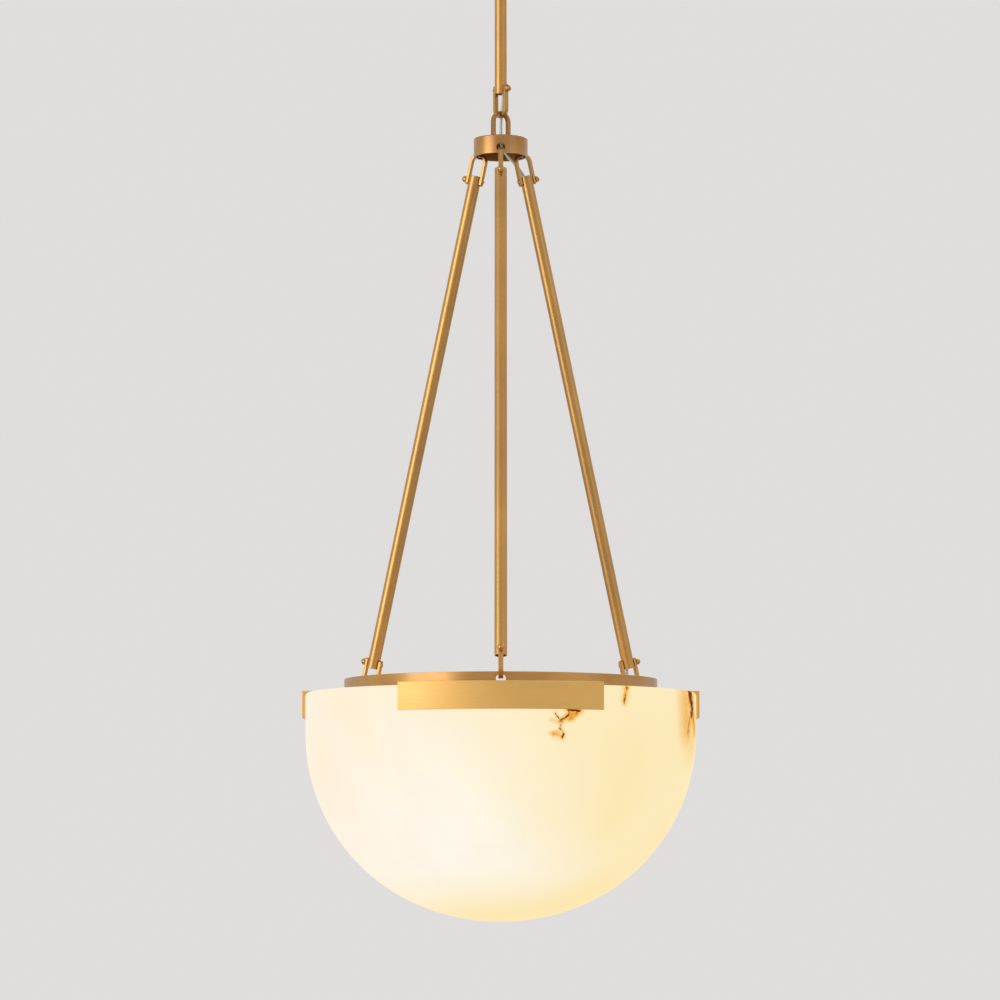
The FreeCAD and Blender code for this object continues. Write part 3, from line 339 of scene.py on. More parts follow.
class PendantStageSettings(bpy.types.PropertyGroup):
    distance: length("Camera distance", "From the lamp's axis to the camera", 4.5)
    side_step: length("Camera side step", "From the lamp's axis to the camera, to the left", 0.8 * MM)
    below_rim: length("Camera height", "Height of the bowl's rim over the camera", 0.226)
    tilt: slant("Camera tilt", "Upward tilt of the camera", 5.4)
    lens: bpy.props.FloatProperty(name="Lens", description="Focal length on a 36 mm sensor", default=158.0,
                                  subtype="DISTANCE_CAMERA", unit="CAMERA")
    floor_drop: length("Floor", "From the ceiling down to the floor, clear of views from below", 6.5)
    floor_size: length("Floor size", "Side of the floor", 400.0)
    floor: tint("Floor colour", "Plain pale floor", (0.93, 0.92, 0.90))
    floor_lift: tint("Floor lift", "Light that brings the floor up to the background for the camera",
                     (0.20, 0.195, 0.19))
    background: tint("Background", "Plain pale background", (0.74, 0.73, 0.72))
    daylight: share("Ambient light", "Strength of the even light", 0.55)


GROUPS = {
    "pendant_bowl": PendantBowlSettings,
    "pendant_brass": PendantBrassSettings,
    "pendant_hardware": PendantHardwareSettings,
    "pendant_frame": PendantFrameSettings,
    "pendant_lamp": PendantLampSettings,
    "pendant_cord": PendantCordSettings,
    "pendant_stage": PendantStageSettings,
}


# Modelling steps

@contextmanager
def editing():
    """Edit mode on the active piece, with all of it selected."""
    bpy.ops.object.mode_set(mode="EDIT")
    bpy.ops.mesh.select_all(action="SELECT")
    yield
    bpy.ops.object.mode_set(mode="OBJECT")


def select_only(*pieces):
    """Select some pieces and nothing else, with the first of them active."""
    bpy.ops.object.select_all(action="DESELECT")
    for piece in pieces:
        piece.select_set(True)
    bpy.context.view_layer.objects.active = pieces[0]


def settle():
    """Put the active piece's place, turn and scale into its mesh."""
    bpy.ops.object.transform_apply(location=True, rotation=True, scale=True)


def begin(add, scale=(1, 1, 1), **sizes):
    """Add a primitive at its size and place, with nothing else selected."""
    bpy.ops.object.select_all(action="DESELECT")
    add(**sizes)
    bpy.context.object.scale = scale
    settle()


def modify(kind, **settings):
    """Add a modifier to the active piece, set it and apply it."""
    bpy.ops.object.modifier_add(type=kind)
    modifier = bpy.context.object.modifiers[-1]
    for name, value in settings.items():
        setattr(modifier, name, value)
    bpy.ops.object.modifier_apply(modifier=modifier.name)


def pick(kind, test):
    """In edit mode, select the edges or faces whose middle and direction pass a test."""
    bpy.ops.mesh.select_all(action="DESELECT")
    bpy.ops.mesh.select_mode(type=kind)
    mesh = bpy.context.object.data
    shape = bmesh.from_edit_mesh(mesh)
    if kind == "FACE":
        for face in shape.faces:
            face.select_set(test(face.calc_center_median(), face.normal))
    else:
        for edge in shape.edges:
            start, end = (corner.co for corner in edge.verts)
            edge.select_set(test((start + end) / 2, (end - start).normalized()))
    bmesh.update_edit_mesh(mesh)


def weld(distance=SAME_PLACE):
    """In edit mode, merge corners that lie within a distance of each other."""
    bpy.ops.mesh.select_all(action="SELECT")
    bpy.ops.mesh.remove_doubles(threshold=distance)


def trace(points, closed):
    """In edit mode on a new plane, shrink it to the first point and extrude that through the others."""
    bpy.ops.mesh.select_mode(type="VERT")
    bpy.ops.mesh.merge(type="CENTER")
    for last, point in zip(points, points[1:]):
        bpy.ops.mesh.extrude_vertices_move(TRANSFORM_OT_translate={"value": point - last})
    if closed:
        weld()
    bpy.ops.mesh.select_all(action="SELECT")


def turn(profile, steps, angle=FULL_TURN, start=0.0):
    """New mesh turned about the lamp's axis from (radius, height) points. A part turn gets two end faces."""
    outward = direction(start)
    points = [outward * radius + UP * height for radius, height in profile]
    begin(bpy.ops.mesh.primitive_plane_add, size=MM, location=points[0])
    with editing():
        trace(points, closed=profile[0] == profile[-1])
        if angle < FULL_TURN:
            bpy.ops.mesh.edge_face_add()
            bpy.ops.mesh.select_all(action="SELECT")
        bpy.ops.mesh.spin(steps=steps, angle=angle, center=(0, 0, 0), axis=(0, 0, -1))
        weld()
        bpy.ops.mesh.normals_make_consistent(inside=False)


def arc(centre, radius, start, end, steps):
    """(radius, height) points on an arc, with angles in degrees from level outwards, anticlockwise."""
    points = []
    for step in range(steps + 1):
        angle = math.radians(start + (end - start) * step / steps)
        points.append((centre[0] + radius * math.cos(angle), centre[1] + radius * math.sin(angle)))
    return points


def boxed(inner, outer, low, high):
    """Closed (radius, height) outline of a plain ring."""
    return [(inner, low), (outer, low), (outer, high), (inner, high), (inner, low)]


def put(origin, x_axis, z_axis):
    """Move the active piece from the origin to a place, with its X and Z turned to two square directions."""
    y_axis = z_axis.cross(x_axis)
    rows = Matrix((x_axis, y_axis, z_axis)).transposed().to_4x4()
    bpy.context.object.matrix_world = Matrix.Translation(origin) @ rows
    settle()


def ease(width, segments=2):
    """Round the active piece's sharp edges."""
    modify("BEVEL", limit_method="ANGLE", angle_limit=SMOOTH_ANGLE, width=width, segments=segments)


def peg(start, end, radius):
    """New round bar between two places."""
    along = end - start
    begin(bpy.ops.mesh.primitive_cylinder_add, vertices=ROUND_STEPS, radius=radius, depth=along.length)
    put((start + end) / 2, along.orthogonal().normalized(), along.normalized())
    return bpy.context.object


def combine(piece, other, operation):
    """Unite another piece with a piece or cut it out, delete the other and leave the piece active."""
    select_only(piece)
    modify("BOOLEAN", operation=operation, solver="EXACT", object=other)
    bpy.data.objects.remove(other)


def drill(places, radius, reach):
    """Cut round holes through the active piece, each at a place along a direction."""
    piece = bpy.context.object
    for place, along in places:
        combine(piece, peg(place - along * reach / 2, place + along * reach / 2, radius), "DIFFERENCE")
    with editing():
        weld(SHORTEST_EDGE)


def copies(places):
    """Move the active piece to the first of some places and copies with their own meshes to the others.
    A place is an origin with the ways of the piece's X and Z there."""
    pieces = [bpy.context.object]
    while len(pieces) < len(places):
        bpy.ops.object.duplicate()
        pieces.append(bpy.context.object)
    for piece, place in zip(pieces, places):
        select_only(piece)
        put(*place)
    return pieces


def join(pieces):
    """Join pieces into the first of them."""
    select_only(*pieces)
    bpy.ops.object.join()
    return pieces[0]


def finish_piece(piece, kind, node, body, material):
    """Name a piece, shade it, give it its finish and let it stand for its node on that node's body."""
    select_only(piece)
    bpy.ops.object.shade_smooth_by_angle(angle=SMOOTH_ANGLE)
    modify("WEIGHTED_NORMAL", keep_sharp=True)
    piece.name = kind + "_" + node
    piece.data.name = piece.name
    piece.data.materials.clear()
    piece.data.materials.append(material)
    if body:
        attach(piece, body)
    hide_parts(node)


# Finishes

# Span that holds most values of a noise, and the depth of a fine bump
NOISE_SPAN = (0.3, 0.7)
FINE_BUMP = 0.05 * MM

# Brush marks and grain of brass, as a stretch of noise along X, Y and Z: marks run where the stretch is small
MARKS_ROUND_AXIS = (14, 14, 1400)
MARKS_ALONG_TUBE = (1400, 1400, 12)
EVEN_GRAIN = (900, 900, 900)
TONING_CLOUDS = (14, 14, 14)

# How the marks change the brass: its shade, as a share, and its roughness, as a difference
MARKS_SHADE = (0.93, 1.03)
MARKS_DULLER = (-0.05, 0.08)

# Looks of the brass: its marks, and the settings for its dull colour, its rubbed colour and its roughness.
# The clips' and canopy's look is painted light, the tubes' and straps' look painted shade and the hub's,
# loop's and ring's look deeper painted shade, all of one brass
BRASS_LOOKS = {
    "bright_round": (MARKS_ROUND_AXIS, "bright", "polished", "satin"),
    "browned_round": (MARKS_ROUND_AXIS, "browned", "aged", "polish"),
    "browned_fine": (EVEN_GRAIN, "browned", "aged", "polish"),
    "toned_along": (MARKS_ALONG_TUBE, "toned", "aged", "polish"),
    "toned_fine": (EVEN_GRAIN, "toned", "aged", "polish"),
}

# Plain finishes by slot: darker and paler colour, scale of the mottling, roughness, grain, metal
PLAIN_LOOKS = {
    "plated_steel": ((0.46, 0.46, 0.45), (0.60, 0.59, 0.57), 120, 0.32, 0.05, 1.0),
    "white_enamel": ((0.78, 0.77, 0.74), (0.84, 0.83, 0.80), 60, 0.35, 0.04, 0.0),
    "white_porcelain": ((0.78, 0.77, 0.73), (0.82, 0.81, 0.78), 40, 0.16, 0.02, 0.0),
    "white_plastic": ((0.76, 0.76, 0.74), (0.80, 0.80, 0.78), 200, 0.45, 0.05, 0.0),
    "soft_silicone": ((0.66, 0.66, 0.63), (0.74, 0.74, 0.71), 150, 0.6, 0.08, 0.0),
}

# How the mottling changes a plain finish's roughness, as a share, and how much finer its grain is
MOTTLED_ROUGHNESS = (0.8, 1.2)
FINER_GRAIN = 9

# Stretch of the stone's clouds, drifts, grain and ragged vein edges, and the turn of the drifts in radians
STONE_CLOUDS = (5, 5, 7)
STONE_DRIFTS = (9, 9, 4)
STONE_GRAIN = (90, 90, 90)
VEIN_EDGES = (240, 240, 240)
DRIFT_TURN = (0.5, 0.3, 0.0)

# Where the stone's tints change, in metres, and by how much. More warmth is more honey stone. The warmer
# right side and the pinker left side are painted light falling from the left, and the whiter hotspot is
# painted light of the bulbs; the clouds and drifts are the stone's own, and the stone is warmer towards the
# foot
WARMER_AWAY_FROM_LIGHT = ((-0.17, 0.20), (0.32, 0.90))
WARMER_TO_FOOT = ((RIM - 0.185, RIM - 0.233), (0.0, 0.55))
WHITER_IN_HOTSPOT = ((0.02, 0.17), (-0.5, 0.05))
WARMER_IN_CLOUDS = ((0.25, 0.75), (-0.2, 0.2))
LIGHT_TINT_TO_LEFT = ((-0.05, -0.19), (0.0, 1.0))
GREY_IN_DRIFTS = ((0.58, 0.72), (0.0, 0.22))
GREY_SHADE = 0.86

# Raggedness of the veins and stains, and the nearness to a crack at which its rust begins and is full
RAGGED_CRACK = ((0.25, 0.75), (0.6, 1.4))
RAGGED_STAIN = ((0.25, 0.75), (0.7, 1.15))
RUST_EDGE = ((0.42, 0.72), (0.0, 1.0))

# Twist of the cord's strands, as a stretch, and how plainly they show
CORD_TWIST = (260, 260, 420)
STRANDS_SHOW = ((0.2, 0.9), (0.0, 0.55))

# Frosted glass, its glow from cap to globe, and the heights between which the glow rises
FROST_TINTS = ((0.82, 0.80, 0.76), (0.90, 0.88, 0.84))
FROST_GRAIN = (500, 500, 500)
GLOW_TINTS = ((0.50, 0.28, 0.10), (1.0, 0.86, 0.62))
GLOW_RISE = ((HOLDER_BOTTOM, HOLDER_BOTTOM - 0.03), (0.25, 1.0))


class Nodes:
    """Short ways to add nodes to a tree."""

    def __init__(self, tree):
        self.tree = tree

    def feed(self, socket, value):
        """Give a socket an output, a colour or another value."""
        if isinstance(value, bpy.types.NodeSocket):
            self.tree.links.new(value, socket)
        elif socket.type == "RGBA":
            socket.default_value = (*value, 1)
        else:
            socket.default_value = value

    def add(self, kind, inputs=None, **settings):
        """New node with its settings, and with some inputs fed by their names or numbers."""
        node = self.tree.nodes.new(kind)
        for name, value in settings.items():
            setattr(node, name, value)
        for key, value in (inputs or {}).items():
            self.feed(node.inputs[key], value)
        return node

    def maths(self, operation, first, second):
        return self.add("ShaderNodeMath", {0: first, 1: second}, operation=operation).outputs["Value"]


class Finish(Nodes):
    """A new material with one Principled shader, and what such materials are made of."""

    def __init__(self, name):
        self.material = bpy.data.materials.new(name)
        self.material.use_nodes = True
        super().__init__(self.material.node_tree)
        self.shader = self.tree.nodes["Principled BSDF"]
        self.coordinates = self.add("ShaderNodeTexCoord").outputs["Object"]

    def stretched(self, stretch, rotation=(0, 0, 0)):
        inputs = {"Vector": self.coordinates, "Scale": stretch, "Rotation": rotation}
        return self.add("ShaderNodeMapping", inputs).outputs["Vector"]

    def noise(self, stretch, detail, distortion=0.0, rotation=(0, 0, 0)):
        inputs = {"Vector": self.stretched(stretch, rotation), "Scale": 1.0, "Detail": detail,
                  "Distortion": distortion}
        return self.add("ShaderNodeTexNoise", inputs).outputs["Fac"]

    def spread(self, value, span, result):
        """Turn one span of values into another."""
        inputs = {"Value": value, "From Min": span[0], "From Max": span[1], "To Min": result[0],
                  "To Max": result[1]}
        return self.add("ShaderNodeMapRange", inputs).outputs["Result"]

    def mix(self, factor, first, second, blend="MIX"):
        """Blend two colours, which are a Mix node's seventh and eighth inputs."""
        inputs = {0: factor, 6: first, 7: second}
        return self.add("ShaderNodeMix", inputs, data_type="RGBA", blend_type=blend).outputs[2]

    def along(self, axis):
        """Place along an axis of the frame."""
        return self.add("ShaderNodeSeparateXYZ", {"Vector": self.coordinates}).outputs[axis]

    def bump(self, height, strength, distance=FINE_BUMP):
        node = self.add("ShaderNodeBump", {"Height": height, "Strength": strength, "Distance": distance})
        self.feed(self.shader.inputs["Normal"], node.outputs["Normal"])

    def shade(self, **values):
        """Feed the shader's inputs and give the finished material."""
        for name, value in values.items():
            self.feed(self.shader.inputs[name.replace("_", " ")], value)
        return self.material


def brass(look, side=""):
    """Brushed brass of uneven tone, in the lit or shaded pair of colours of its look, which paint light and
    shade. Its marks lie along the rod of a side, if one is given.
    """
    name = "brass_" + look + ("_" + side if side else "")
    if name in bpy.data.materials:
        return bpy.data.materials[name]
    marks, dull, rubbed, polish = BRASS_LOOKS[look]
    settings = bpy.context.scene.pendant_brass
    rotation = rod_lines(side)[2].rotation_difference(-UP).to_euler() if side else (0, 0, 0)
    finish = Finish(name)
    grain = finish.noise(marks, detail=4.0, rotation=rotation)
    toning = finish.noise(TONING_CLOUDS, detail=5.0, distortion=0.4)
    wear = finish.spread(toning, NOISE_SPAN, (0.0, 1.0))
    streaks = finish.spread(grain, NOISE_SPAN, MARKS_SHADE)
    # Painted light and shade: the two colours are the look's lit or shaded pair
    colour = finish.mix(wear, getattr(settings, dull), getattr(settings, rubbed))
    shade = finish.add("ShaderNodeCombineColor", {"Red": streaks, "Green": streaks, "Blue": streaks})
    roughness = [getattr(settings, polish) + change for change in MARKS_DULLER]
    finish.bump(grain, strength=0.05)
    return finish.shade(
        Base_Color=finish.mix(1.0, colour, shade.outputs["Color"], "MULTIPLY"),
        Roughness=finish.spread(grain, NOISE_SPAN, roughness),
        Metallic=1.0,
        Coat_Weight=settings.lacquer,
        Coat_Roughness=settings.lacquer_haze,
    )


def mottled(name, darker, paler, scale, roughness, grain, metal=0.0):
    """Plain finish with a mottled colour, an uneven gloss and a fine grain."""
    if name in bpy.data.materials:
        return bpy.data.materials[name]
    finish = Finish(name)
    mottle = finish.noise([scale] * 3, detail=4.0)
    finish.bump(finish.noise([scale * FINER_GRAIN] * 3, detail=2.0), grain)
    return finish.shade(
        Base_Color=finish.mix(finish.spread(mottle, NOISE_SPAN, (0.0, 1.0)), darker, paler),
        Roughness=finish.spread(mottle, NOISE_SPAN, [roughness * change for change in MOTTLED_ROUGHNESS]),
        Metallic=metal,
    )


def plain(slot):
    """Finish of a plain slot."""
    return mottled(slot + "_mottled", *PLAIN_LOOKS[slot])


def alabaster():
    """Lit stone: pale and honey clouds, faint grey drifts and rusty veins with amber stains beside them, with
    painted light: a whiter hotspot, a pinker left side and a warmer right side.
    """
    settings = bpy.context.scene.pendant_bowl
    finish = Finish("alabaster_lit")
    clouds = finish.noise(STONE_CLOUDS, detail=5.0, distortion=0.6)
    drift = finish.noise(STONE_DRIFTS, detail=6.0, distortion=1.2, rotation=DRIFT_TURN)
    grain = finish.noise(STONE_GRAIN, detail=4.0)
    ragged = finish.noise(VEIN_EDGES, detail=4.0)
    # Painted hotspot: nearer its middle the stone and its glow are painted whiter
    inputs = {0: finish.coordinates, 1: BULB_HOTSPOT}
    from_hotspot = finish.add("ShaderNodeVectorMath", inputs, operation="DISTANCE").outputs["Value"]

    # Painted light from the left: the stone and its glow grow warmer to the right and pinker to the left
    warmth_and_light = finish.spread(finish.along("X"), *WARMER_AWAY_FROM_LIGHT)
    warmth_and_light = finish.maths("ADD", warmth_and_light, finish.spread(clouds, *WARMER_IN_CLOUDS))
    warmth_and_light = finish.maths("ADD", warmth_and_light, finish.spread(finish.along("Z"), *WARMER_TO_FOOT))
    warmth_and_light = finish.maths("ADD", warmth_and_light, finish.spread(from_hotspot, *WHITER_IN_HOTSPOT))
    left_light = finish.spread(finish.along("X"), *LIGHT_TINT_TO_LEFT)
    grey = finish.spread(drift, *GREY_IN_DRIFTS)

    def stored(name, raggedness):
        value = finish.add("ShaderNodeAttribute", attribute_name=name).outputs["Fac"]
        return finish.maths("MULTIPLY", value, finish.spread(ragged, *raggedness))

    crack = finish.spread(stored("vein_crack", RAGGED_CRACK), *RUST_EDGE)
    stained = stored("vein_stain", RAGGED_STAIN)
    heart = finish.maths("MULTIPLY", stained, stained)

    def layered(white, honey):
        stone = finish.mix(warmth_and_light, white, honey)
        stone = finish.mix(left_light, stone, settings.left_light_tint, "MULTIPLY")
        stone = finish.mix(grey, stone, [channel * GREY_SHADE for channel in white])
        stone = finish.mix(stained, stone, settings.stain_gold, "MULTIPLY")
        stone = finish.mix(heart, stone, settings.stain_amber, "MULTIPLY")
        return finish.mix(crack, stone, settings.vein)

    finish.bump(grain, strength=0.06, distance=2 * FINE_BUMP)
    return finish.shade(
        Base_Color=layered(settings.stone_white, settings.stone_honey),
        Emission_Color=layered(settings.glow_white, settings.glow_honey),
        Emission_Strength=settings.glow,
        Roughness=finish.spread(grain, NOISE_SPAN, (0.42, 0.54)),
        IOR=1.5,
        Specular_IOR_Level=0.005,
    )


def clear_cord():
    """Clear sleeve over twisted strands."""
    name = "cord_clear_sleeve"
    if name in bpy.data.materials:
        return bpy.data.materials[name]
    settings = bpy.context.scene.pendant_cord
    finish = Finish(name)
    inputs = {"Vector": finish.stretched(CORD_TWIST), "Scale": 1.0, "Distortion": 1.5}
    wave = finish.add("ShaderNodeTexWave", inputs, wave_type="BANDS", bands_direction="DIAGONAL")
    twist = wave.outputs["Fac"]
    strands = finish.spread(twist, *STRANDS_SHOW)
    finish.bump(twist, strength=0.1)
    return finish.shade(
        Base_Color=finish.mix(strands, settings.sleeve, settings.copper),
        Roughness=finish.spread(twist, (0.0, 1.0), (0.16, 0.28)),
        Coat_Weight=0.6,
        Coat_Roughness=0.1,
    )


def lit_bulb():
    """Frosted glass that glows most at the globe and least at the cap."""
    finish = Finish("bulb_frosted_lit")
    low = finish.spread(finish.along("Z"), *GLOW_RISE)
    frost = finish.noise(FROST_GRAIN, detail=2.0)
    finish.bump(frost, strength=0.05)
    return finish.shade(
        Base_Color=finish.mix(frost, *FROST_TINTS),
        Emission_Color=finish.mix(low, *GLOW_TINTS),
        Emission_Strength=0.9,
        Roughness=finish.spread(frost, NOISE_SPAN, (0.4, 0.55)),
    )


# Pieces

# Rusty veins of the stone. Each has a run, as (degrees right of the front, millimetres under the rim), the
# half width of its crack in millimetres, how strong that is, and the reach and strength of its amber stain
VEINS = [
    ([(19.3, 25.0), (20.6, 25.9), (22.9, 26.2)], 1.1, 1.0, 6, 0.9),
    ([(19.6, 25.5), (19.6, 29.0), (19.1, 31.6), (18.3, 33.6), (17.1, 36.4)], 0.8, 0.9, 5, 0.9),
    ([(22.2, 27.2), (20.8, 33.0), (19.4, 34.6)], 0.5, 0.62, 5, 1.0),
    ([(20.9, 28.5), (19.9, 31.5)], 0.0, 0.0, 8, 1.0),
    ([(17.4, 36.6), (16.6, 36.9)], 0.9, 0.85, 5, 0.8),
    ([(17.0, 36.0), (16.25, 33.0), (15.5, 28.8)], 0.7, 0.9, 4, 0.5),
    ([(16.6, 36.9), (15.4, 36.0), (14.4, 35.4)], 0.45, 0.5, 4, 0.5),
    ([(17.0, 36.8), (17.2, 40.3), (16.9, 44.0)], 0.5, 0.75, 4, 0.7),
    ([(16.95, 43.4), (16.85, 44.6)], 0.8, 0.9, 4, 0.6),
    ([(16.9, 44.6), (17.5, 46.6), (17.85, 48.6)], 0.6, 0.85, 4, 0.7),
    ([(17.8, 48.4), (18.05, 50.4), (17.6, 52.0)], 1.0, 1.0, 4, 0.8),
    ([(17.6, 52.0), (16.4, 49.6), (15.7, 48.2)], 0.5, 0.7, 5, 0.8),
    ([(16.0, 48.6), (15.0, 48.9)], 0.8, 0.65, 5, 1.0),
    ([(15.2, 48.9), (14.2, 49.2)], 0.4, 0.5, 4, 0.5),
    ([(16.4, 52.5), (15.0, 52.0)], 0.0, 0.0, 4, 0.4),
    ([(39.0, 0.0), (38.5, 4.0), (38.0, 9.0), (37.75, 13.0)], 0.6, 0.68, 5, 0.95),
    ([(38.75, 1.6), (38.55, 3.2)], 0.9, 0.85, 5, 1.0),
    ([(37.75, 12.5), (37.6, 17.6)], 0.8, 0.92, 4.5, 0.9),
    ([(38.4, 2.0), (37.8, 14.0)], 0.0, 0.0, 9, 0.45),
    ([(73.8, 0.0), (73.5, 5.6), (75.1, 11.7), (76.2, 17.8), (75.4, 22.5)], 6.0, 0.95, 22, 1.0),
    ([(75.6, 21.0), (78.0, 28.0), (79.5, 36.0)], 3.0, 0.5, 20, 0.95),
    ([(74.8, 23.5), (73.0, 28.5), (71.8, 35.0), (71.0, 42.3)], 3.0, 0.55, 16, 0.9),
    ([(69.0, 10.0), (69.5, 24.0), (70.0, 38.0)], 0.0, 0.0, 34, 0.7),
    ([(72.0, 8.0), (74.0, 28.0), (75.0, 46.0)], 0.0, 0.0, 45, 0.35),
]


def around(radius, height):
    """A place on each rod's side of the lamp, at a radius and a height, with its way outwards."""
    places = []
    for angle in SIDES.values():
        outward = direction(angle)
        places.append((outward * radius + UP * height, outward))
    return places


def stud_ways(angle):
    """Ways outwards to the two studs of a clip, by the angle of the clip's middle."""
    return [direction(angle - STUD_ANGLE), direction(angle + STUD_ANGLE)]


def vein_segments(settings):
    """Straight stretches of the veins on the bowl's outer face, each with its vein's four numbers."""
    side = settings.radius - settings.side_inset
    segments = []
    for run, *looks in VEINS:
        points = []
        for degrees, drop in run:
            below = max(0.0, drop * MM - settings.straight)
            radius = settings.side_inset + math.sqrt(side ** 2 - below ** 2)
            points.append(direction(SIDES["front"] + degrees) * radius + UP * (RIM - drop * MM))
        for start, end in zip(points, points[1:]):
            segments.append((start, end, looks))
    return segments


def distance_to_run(point, start, end):
    along = end - start
    share_along = max(0.0, min(1.0, (point - start).dot(along) / along.length_squared))
    return (point - start - along * share_along).length


def refine_near_veins(segments, settings):
    """Divide the active bowl's outer faces beside the cracks, so that these can be thin."""
    cracks = [(start, end) for start, end, looks in segments if looks[0] > 0]
    middle_radius = settings.radius - settings.wall / 2

    def beside_crack(middle, normal):
        if middle.z < RIM - settings.vein_depth or math.hypot(middle.x, middle.y) < middle_radius:
            return False
        return min(distance_to_run(middle, start, end) for start, end in cracks) < settings.vein_margin

    with editing():
        pick("FACE", beside_crack)
        bpy.ops.mesh.subdivide(number_cuts=VEIN_CUTS)


def mark_veins(piece, segments, settings):
    """Store at each corner of the bowl's mesh how near a crack it is and how deep in a stain."""
    noise.seed_set(CRACK_SEED)
    cracks = []
    stains = []
    for corner in piece.data.vertices:
        crack = 0.0
        stain = 0.0
        if corner.co.z > RIM - settings.vein_depth - settings.radius / 4:
            place = corner.co + noise.noise_vector(corner.co / settings.vein_wave) * settings.vein_wander
            for start, end, (half_width, dark, reach, strength) in segments:
                gap = distance_to_run(place, start, end) / MM
                if gap < reach:
                    stain = max(stain, strength * (1 - (gap / reach) ** 2) ** 2)
                if gap < CRACK_FADE * half_width:
                    crack = max(crack, dark * (1 - gap / (CRACK_FADE * half_width)))
        cracks.append(crack)
        stains.append(stain)
    for name, values in (("vein_crack", cracks), ("vein_stain", stains)):
        layer = piece.data.attributes.new(name, "FLOAT", "POINT")
        layer.data.foreach_set("value", values)


def bowl_face(settings, offset, steps):
    """(radius, height) points of one face of the bowl, from the axis up to the foot of the upright band."""
    side = settings.radius - settings.side_inset - offset
    base = side + settings.flattening
    side_centre = RIM - settings.straight
    base_centre = side_centre + math.sqrt(settings.flattening ** 2 - settings.side_inset ** 2)
    lean = math.degrees(math.atan2(settings.side_inset, base_centre - side_centre))
    low = arc((0, base_centre), base, -90, -90 + lean, steps)
    high = arc((settings.side_inset, side_centre), side, -90 + lean, 0, 3 * steps)
    return [(0, base_centre - base)] + low[1:] + high[1:]


class PENDANT_OT_bowl(bpy.types.Operator):
    """Model the alabaster bowl, with its rounded rim, its stud holes and its veins"""
    bl_idname = "pendant.bowl"
    bl_label = "Alabaster bowl"

    def execute(self, context):
        settings = context.scene.pendant_bowl
        radius = settings.radius
        inside = radius - settings.wall
        rounding = settings.rim_rounding
        band = [(radius, RIM - rounding - (settings.straight - rounding) * row / BAND_ROWS)
                for row in range(BAND_ROWS - 1, 0, -1)]
        profile = (bowl_face(settings, 0, OUTER_ROWS) + band
                   + arc((radius - rounding, RIM - rounding), rounding, 0, 90, RIM_STEPS)
                   + arc((inside + rounding, RIM - rounding), rounding, 90, 180, RIM_STEPS)
                   + [(inside, RIM - settings.straight / 2)]
                   + bowl_face(settings, settings.wall, INNER_ROWS)[::-1])
        turn(profile, BOWL_STEPS)
        stud_height = UP * (RIM - settings.stud_drop)
        studs = []
        for angle in SIDES.values():
            for outward in stud_ways(angle):
                studs.append((outward * (radius + inside) / 2 + stud_height, outward))
        drill(studs, settings.stud_hole, 3 * settings.wall)
        segments = vein_segments(settings)
        refine_near_veins(segments, settings)
        mark_veins(context.object, segments, settings)
        finish_piece(context.object, "stone", "bowl", "bowl_frame", alabaster())
        return {"FINISHED"}


class PENDANT_OT_tubes(bpy.types.Operator):
    """Model the stem and the three rods as tubes with eased ends"""
    bl_idname = "pendant.tubes"
    bl_label = "Stem and rods"

    def tube(self, context, run, wall, bolts):
        """Tube along +Z from the origin, with holes along X for its bolts at some distances."""
        settings = context.scene.pendant_hardware
        radius = settings.tube_radius
        turn(boxed(radius - wall, radius, 0, run), ROUND_STEPS)
        ease(context.scene.pendant_brass.ease)
        drill([(UP * reach, RIGHT) for reach in bolts], settings.bolt + settings.bolt_room, 3 * radius)

    def execute(self, context):
        settings = context.scene.pendant_hardware
        margin = settings.end_margin
        self.tube(context, STEM_TOP - STEM_END, settings.stem_wall, [STEM_TOP - STEM_BOLT_PLACE.z])
        put(UP * STEM_TOP, SHACKLE_SIDE, -UP)
        finish_piece(context.object, "brass", "stem", "ceiling_mount", brass("toned_along"))

        places = []
        for side in SIDES:
            upper, lower, down, across = rod_lines(side)
            places.append((upper - down * margin, across, down))
        run = (lower - upper).length
        self.tube(context, run + 2 * margin, settings.rod_wall, [margin, margin + run])
        for side, rod in zip(SIDES, copies(places)):
            finish_piece(rod, "brass", "rod_" + side, "rod_" + side, brass("toned_along", side))
        return {"FINISHED"}


def model_strap(context, bend, leg, bolted):
    """Flat bar bent to a U in the XZ plane: bend centre at the origin and legs up +Z.
    A bolted one has round ends and bolt holes, another has a stud on the end of each leg."""
    settings = context.scene.pendant_hardware
    middle = bend + settings.strap_thickness / 2
    begin(bpy.ops.mesh.primitive_plane_add, (settings.strap_thickness, settings.strap_width, 1), size=1,
          location=(middle, 0, leg))
    with editing():
        bpy.ops.mesh.select_mode(type="FACE")
        bpy.ops.mesh.select_all(action="SELECT")
        bpy.ops.mesh.extrude_region_move(TRANSFORM_OT_translate={"value": (0, 0, -leg)})
        bpy.ops.mesh.spin(steps=BEND_STEPS, angle=math.pi, center=(0, 0, 0), axis=(0, -1, 0))
        bpy.ops.mesh.extrude_region_move(TRANSFORM_OT_translate={"value": (0, 0, leg)})
        weld()
        bpy.ops.mesh.normals_make_consistent(inside=False)
        if bolted:
            pick("EDGE", lambda place, along: place.z > leg - SAME_PLACE and abs(along.x) > NEARLY_ALONG)
            bpy.ops.mesh.bevel(offset=settings.strap_width * LEG_ROUNDING, segments=LEG_STEPS, affect="EDGES")
    ease(context.scene.pendant_brass.ease)
    strap = context.object
    if bolted:
        drill([(UP * (leg - settings.end_margin), RIGHT)], settings.bolt + settings.bolt_room, 4 * middle)
    else:
        for side in (-middle, middle):
            foot = Vector((side, 0, leg))
            stud = peg(foot - UP * settings.strap_thickness, foot + UP * settings.loop_stud_length,
                       settings.loop_stud)
            combine(strap, stud, "UNION")


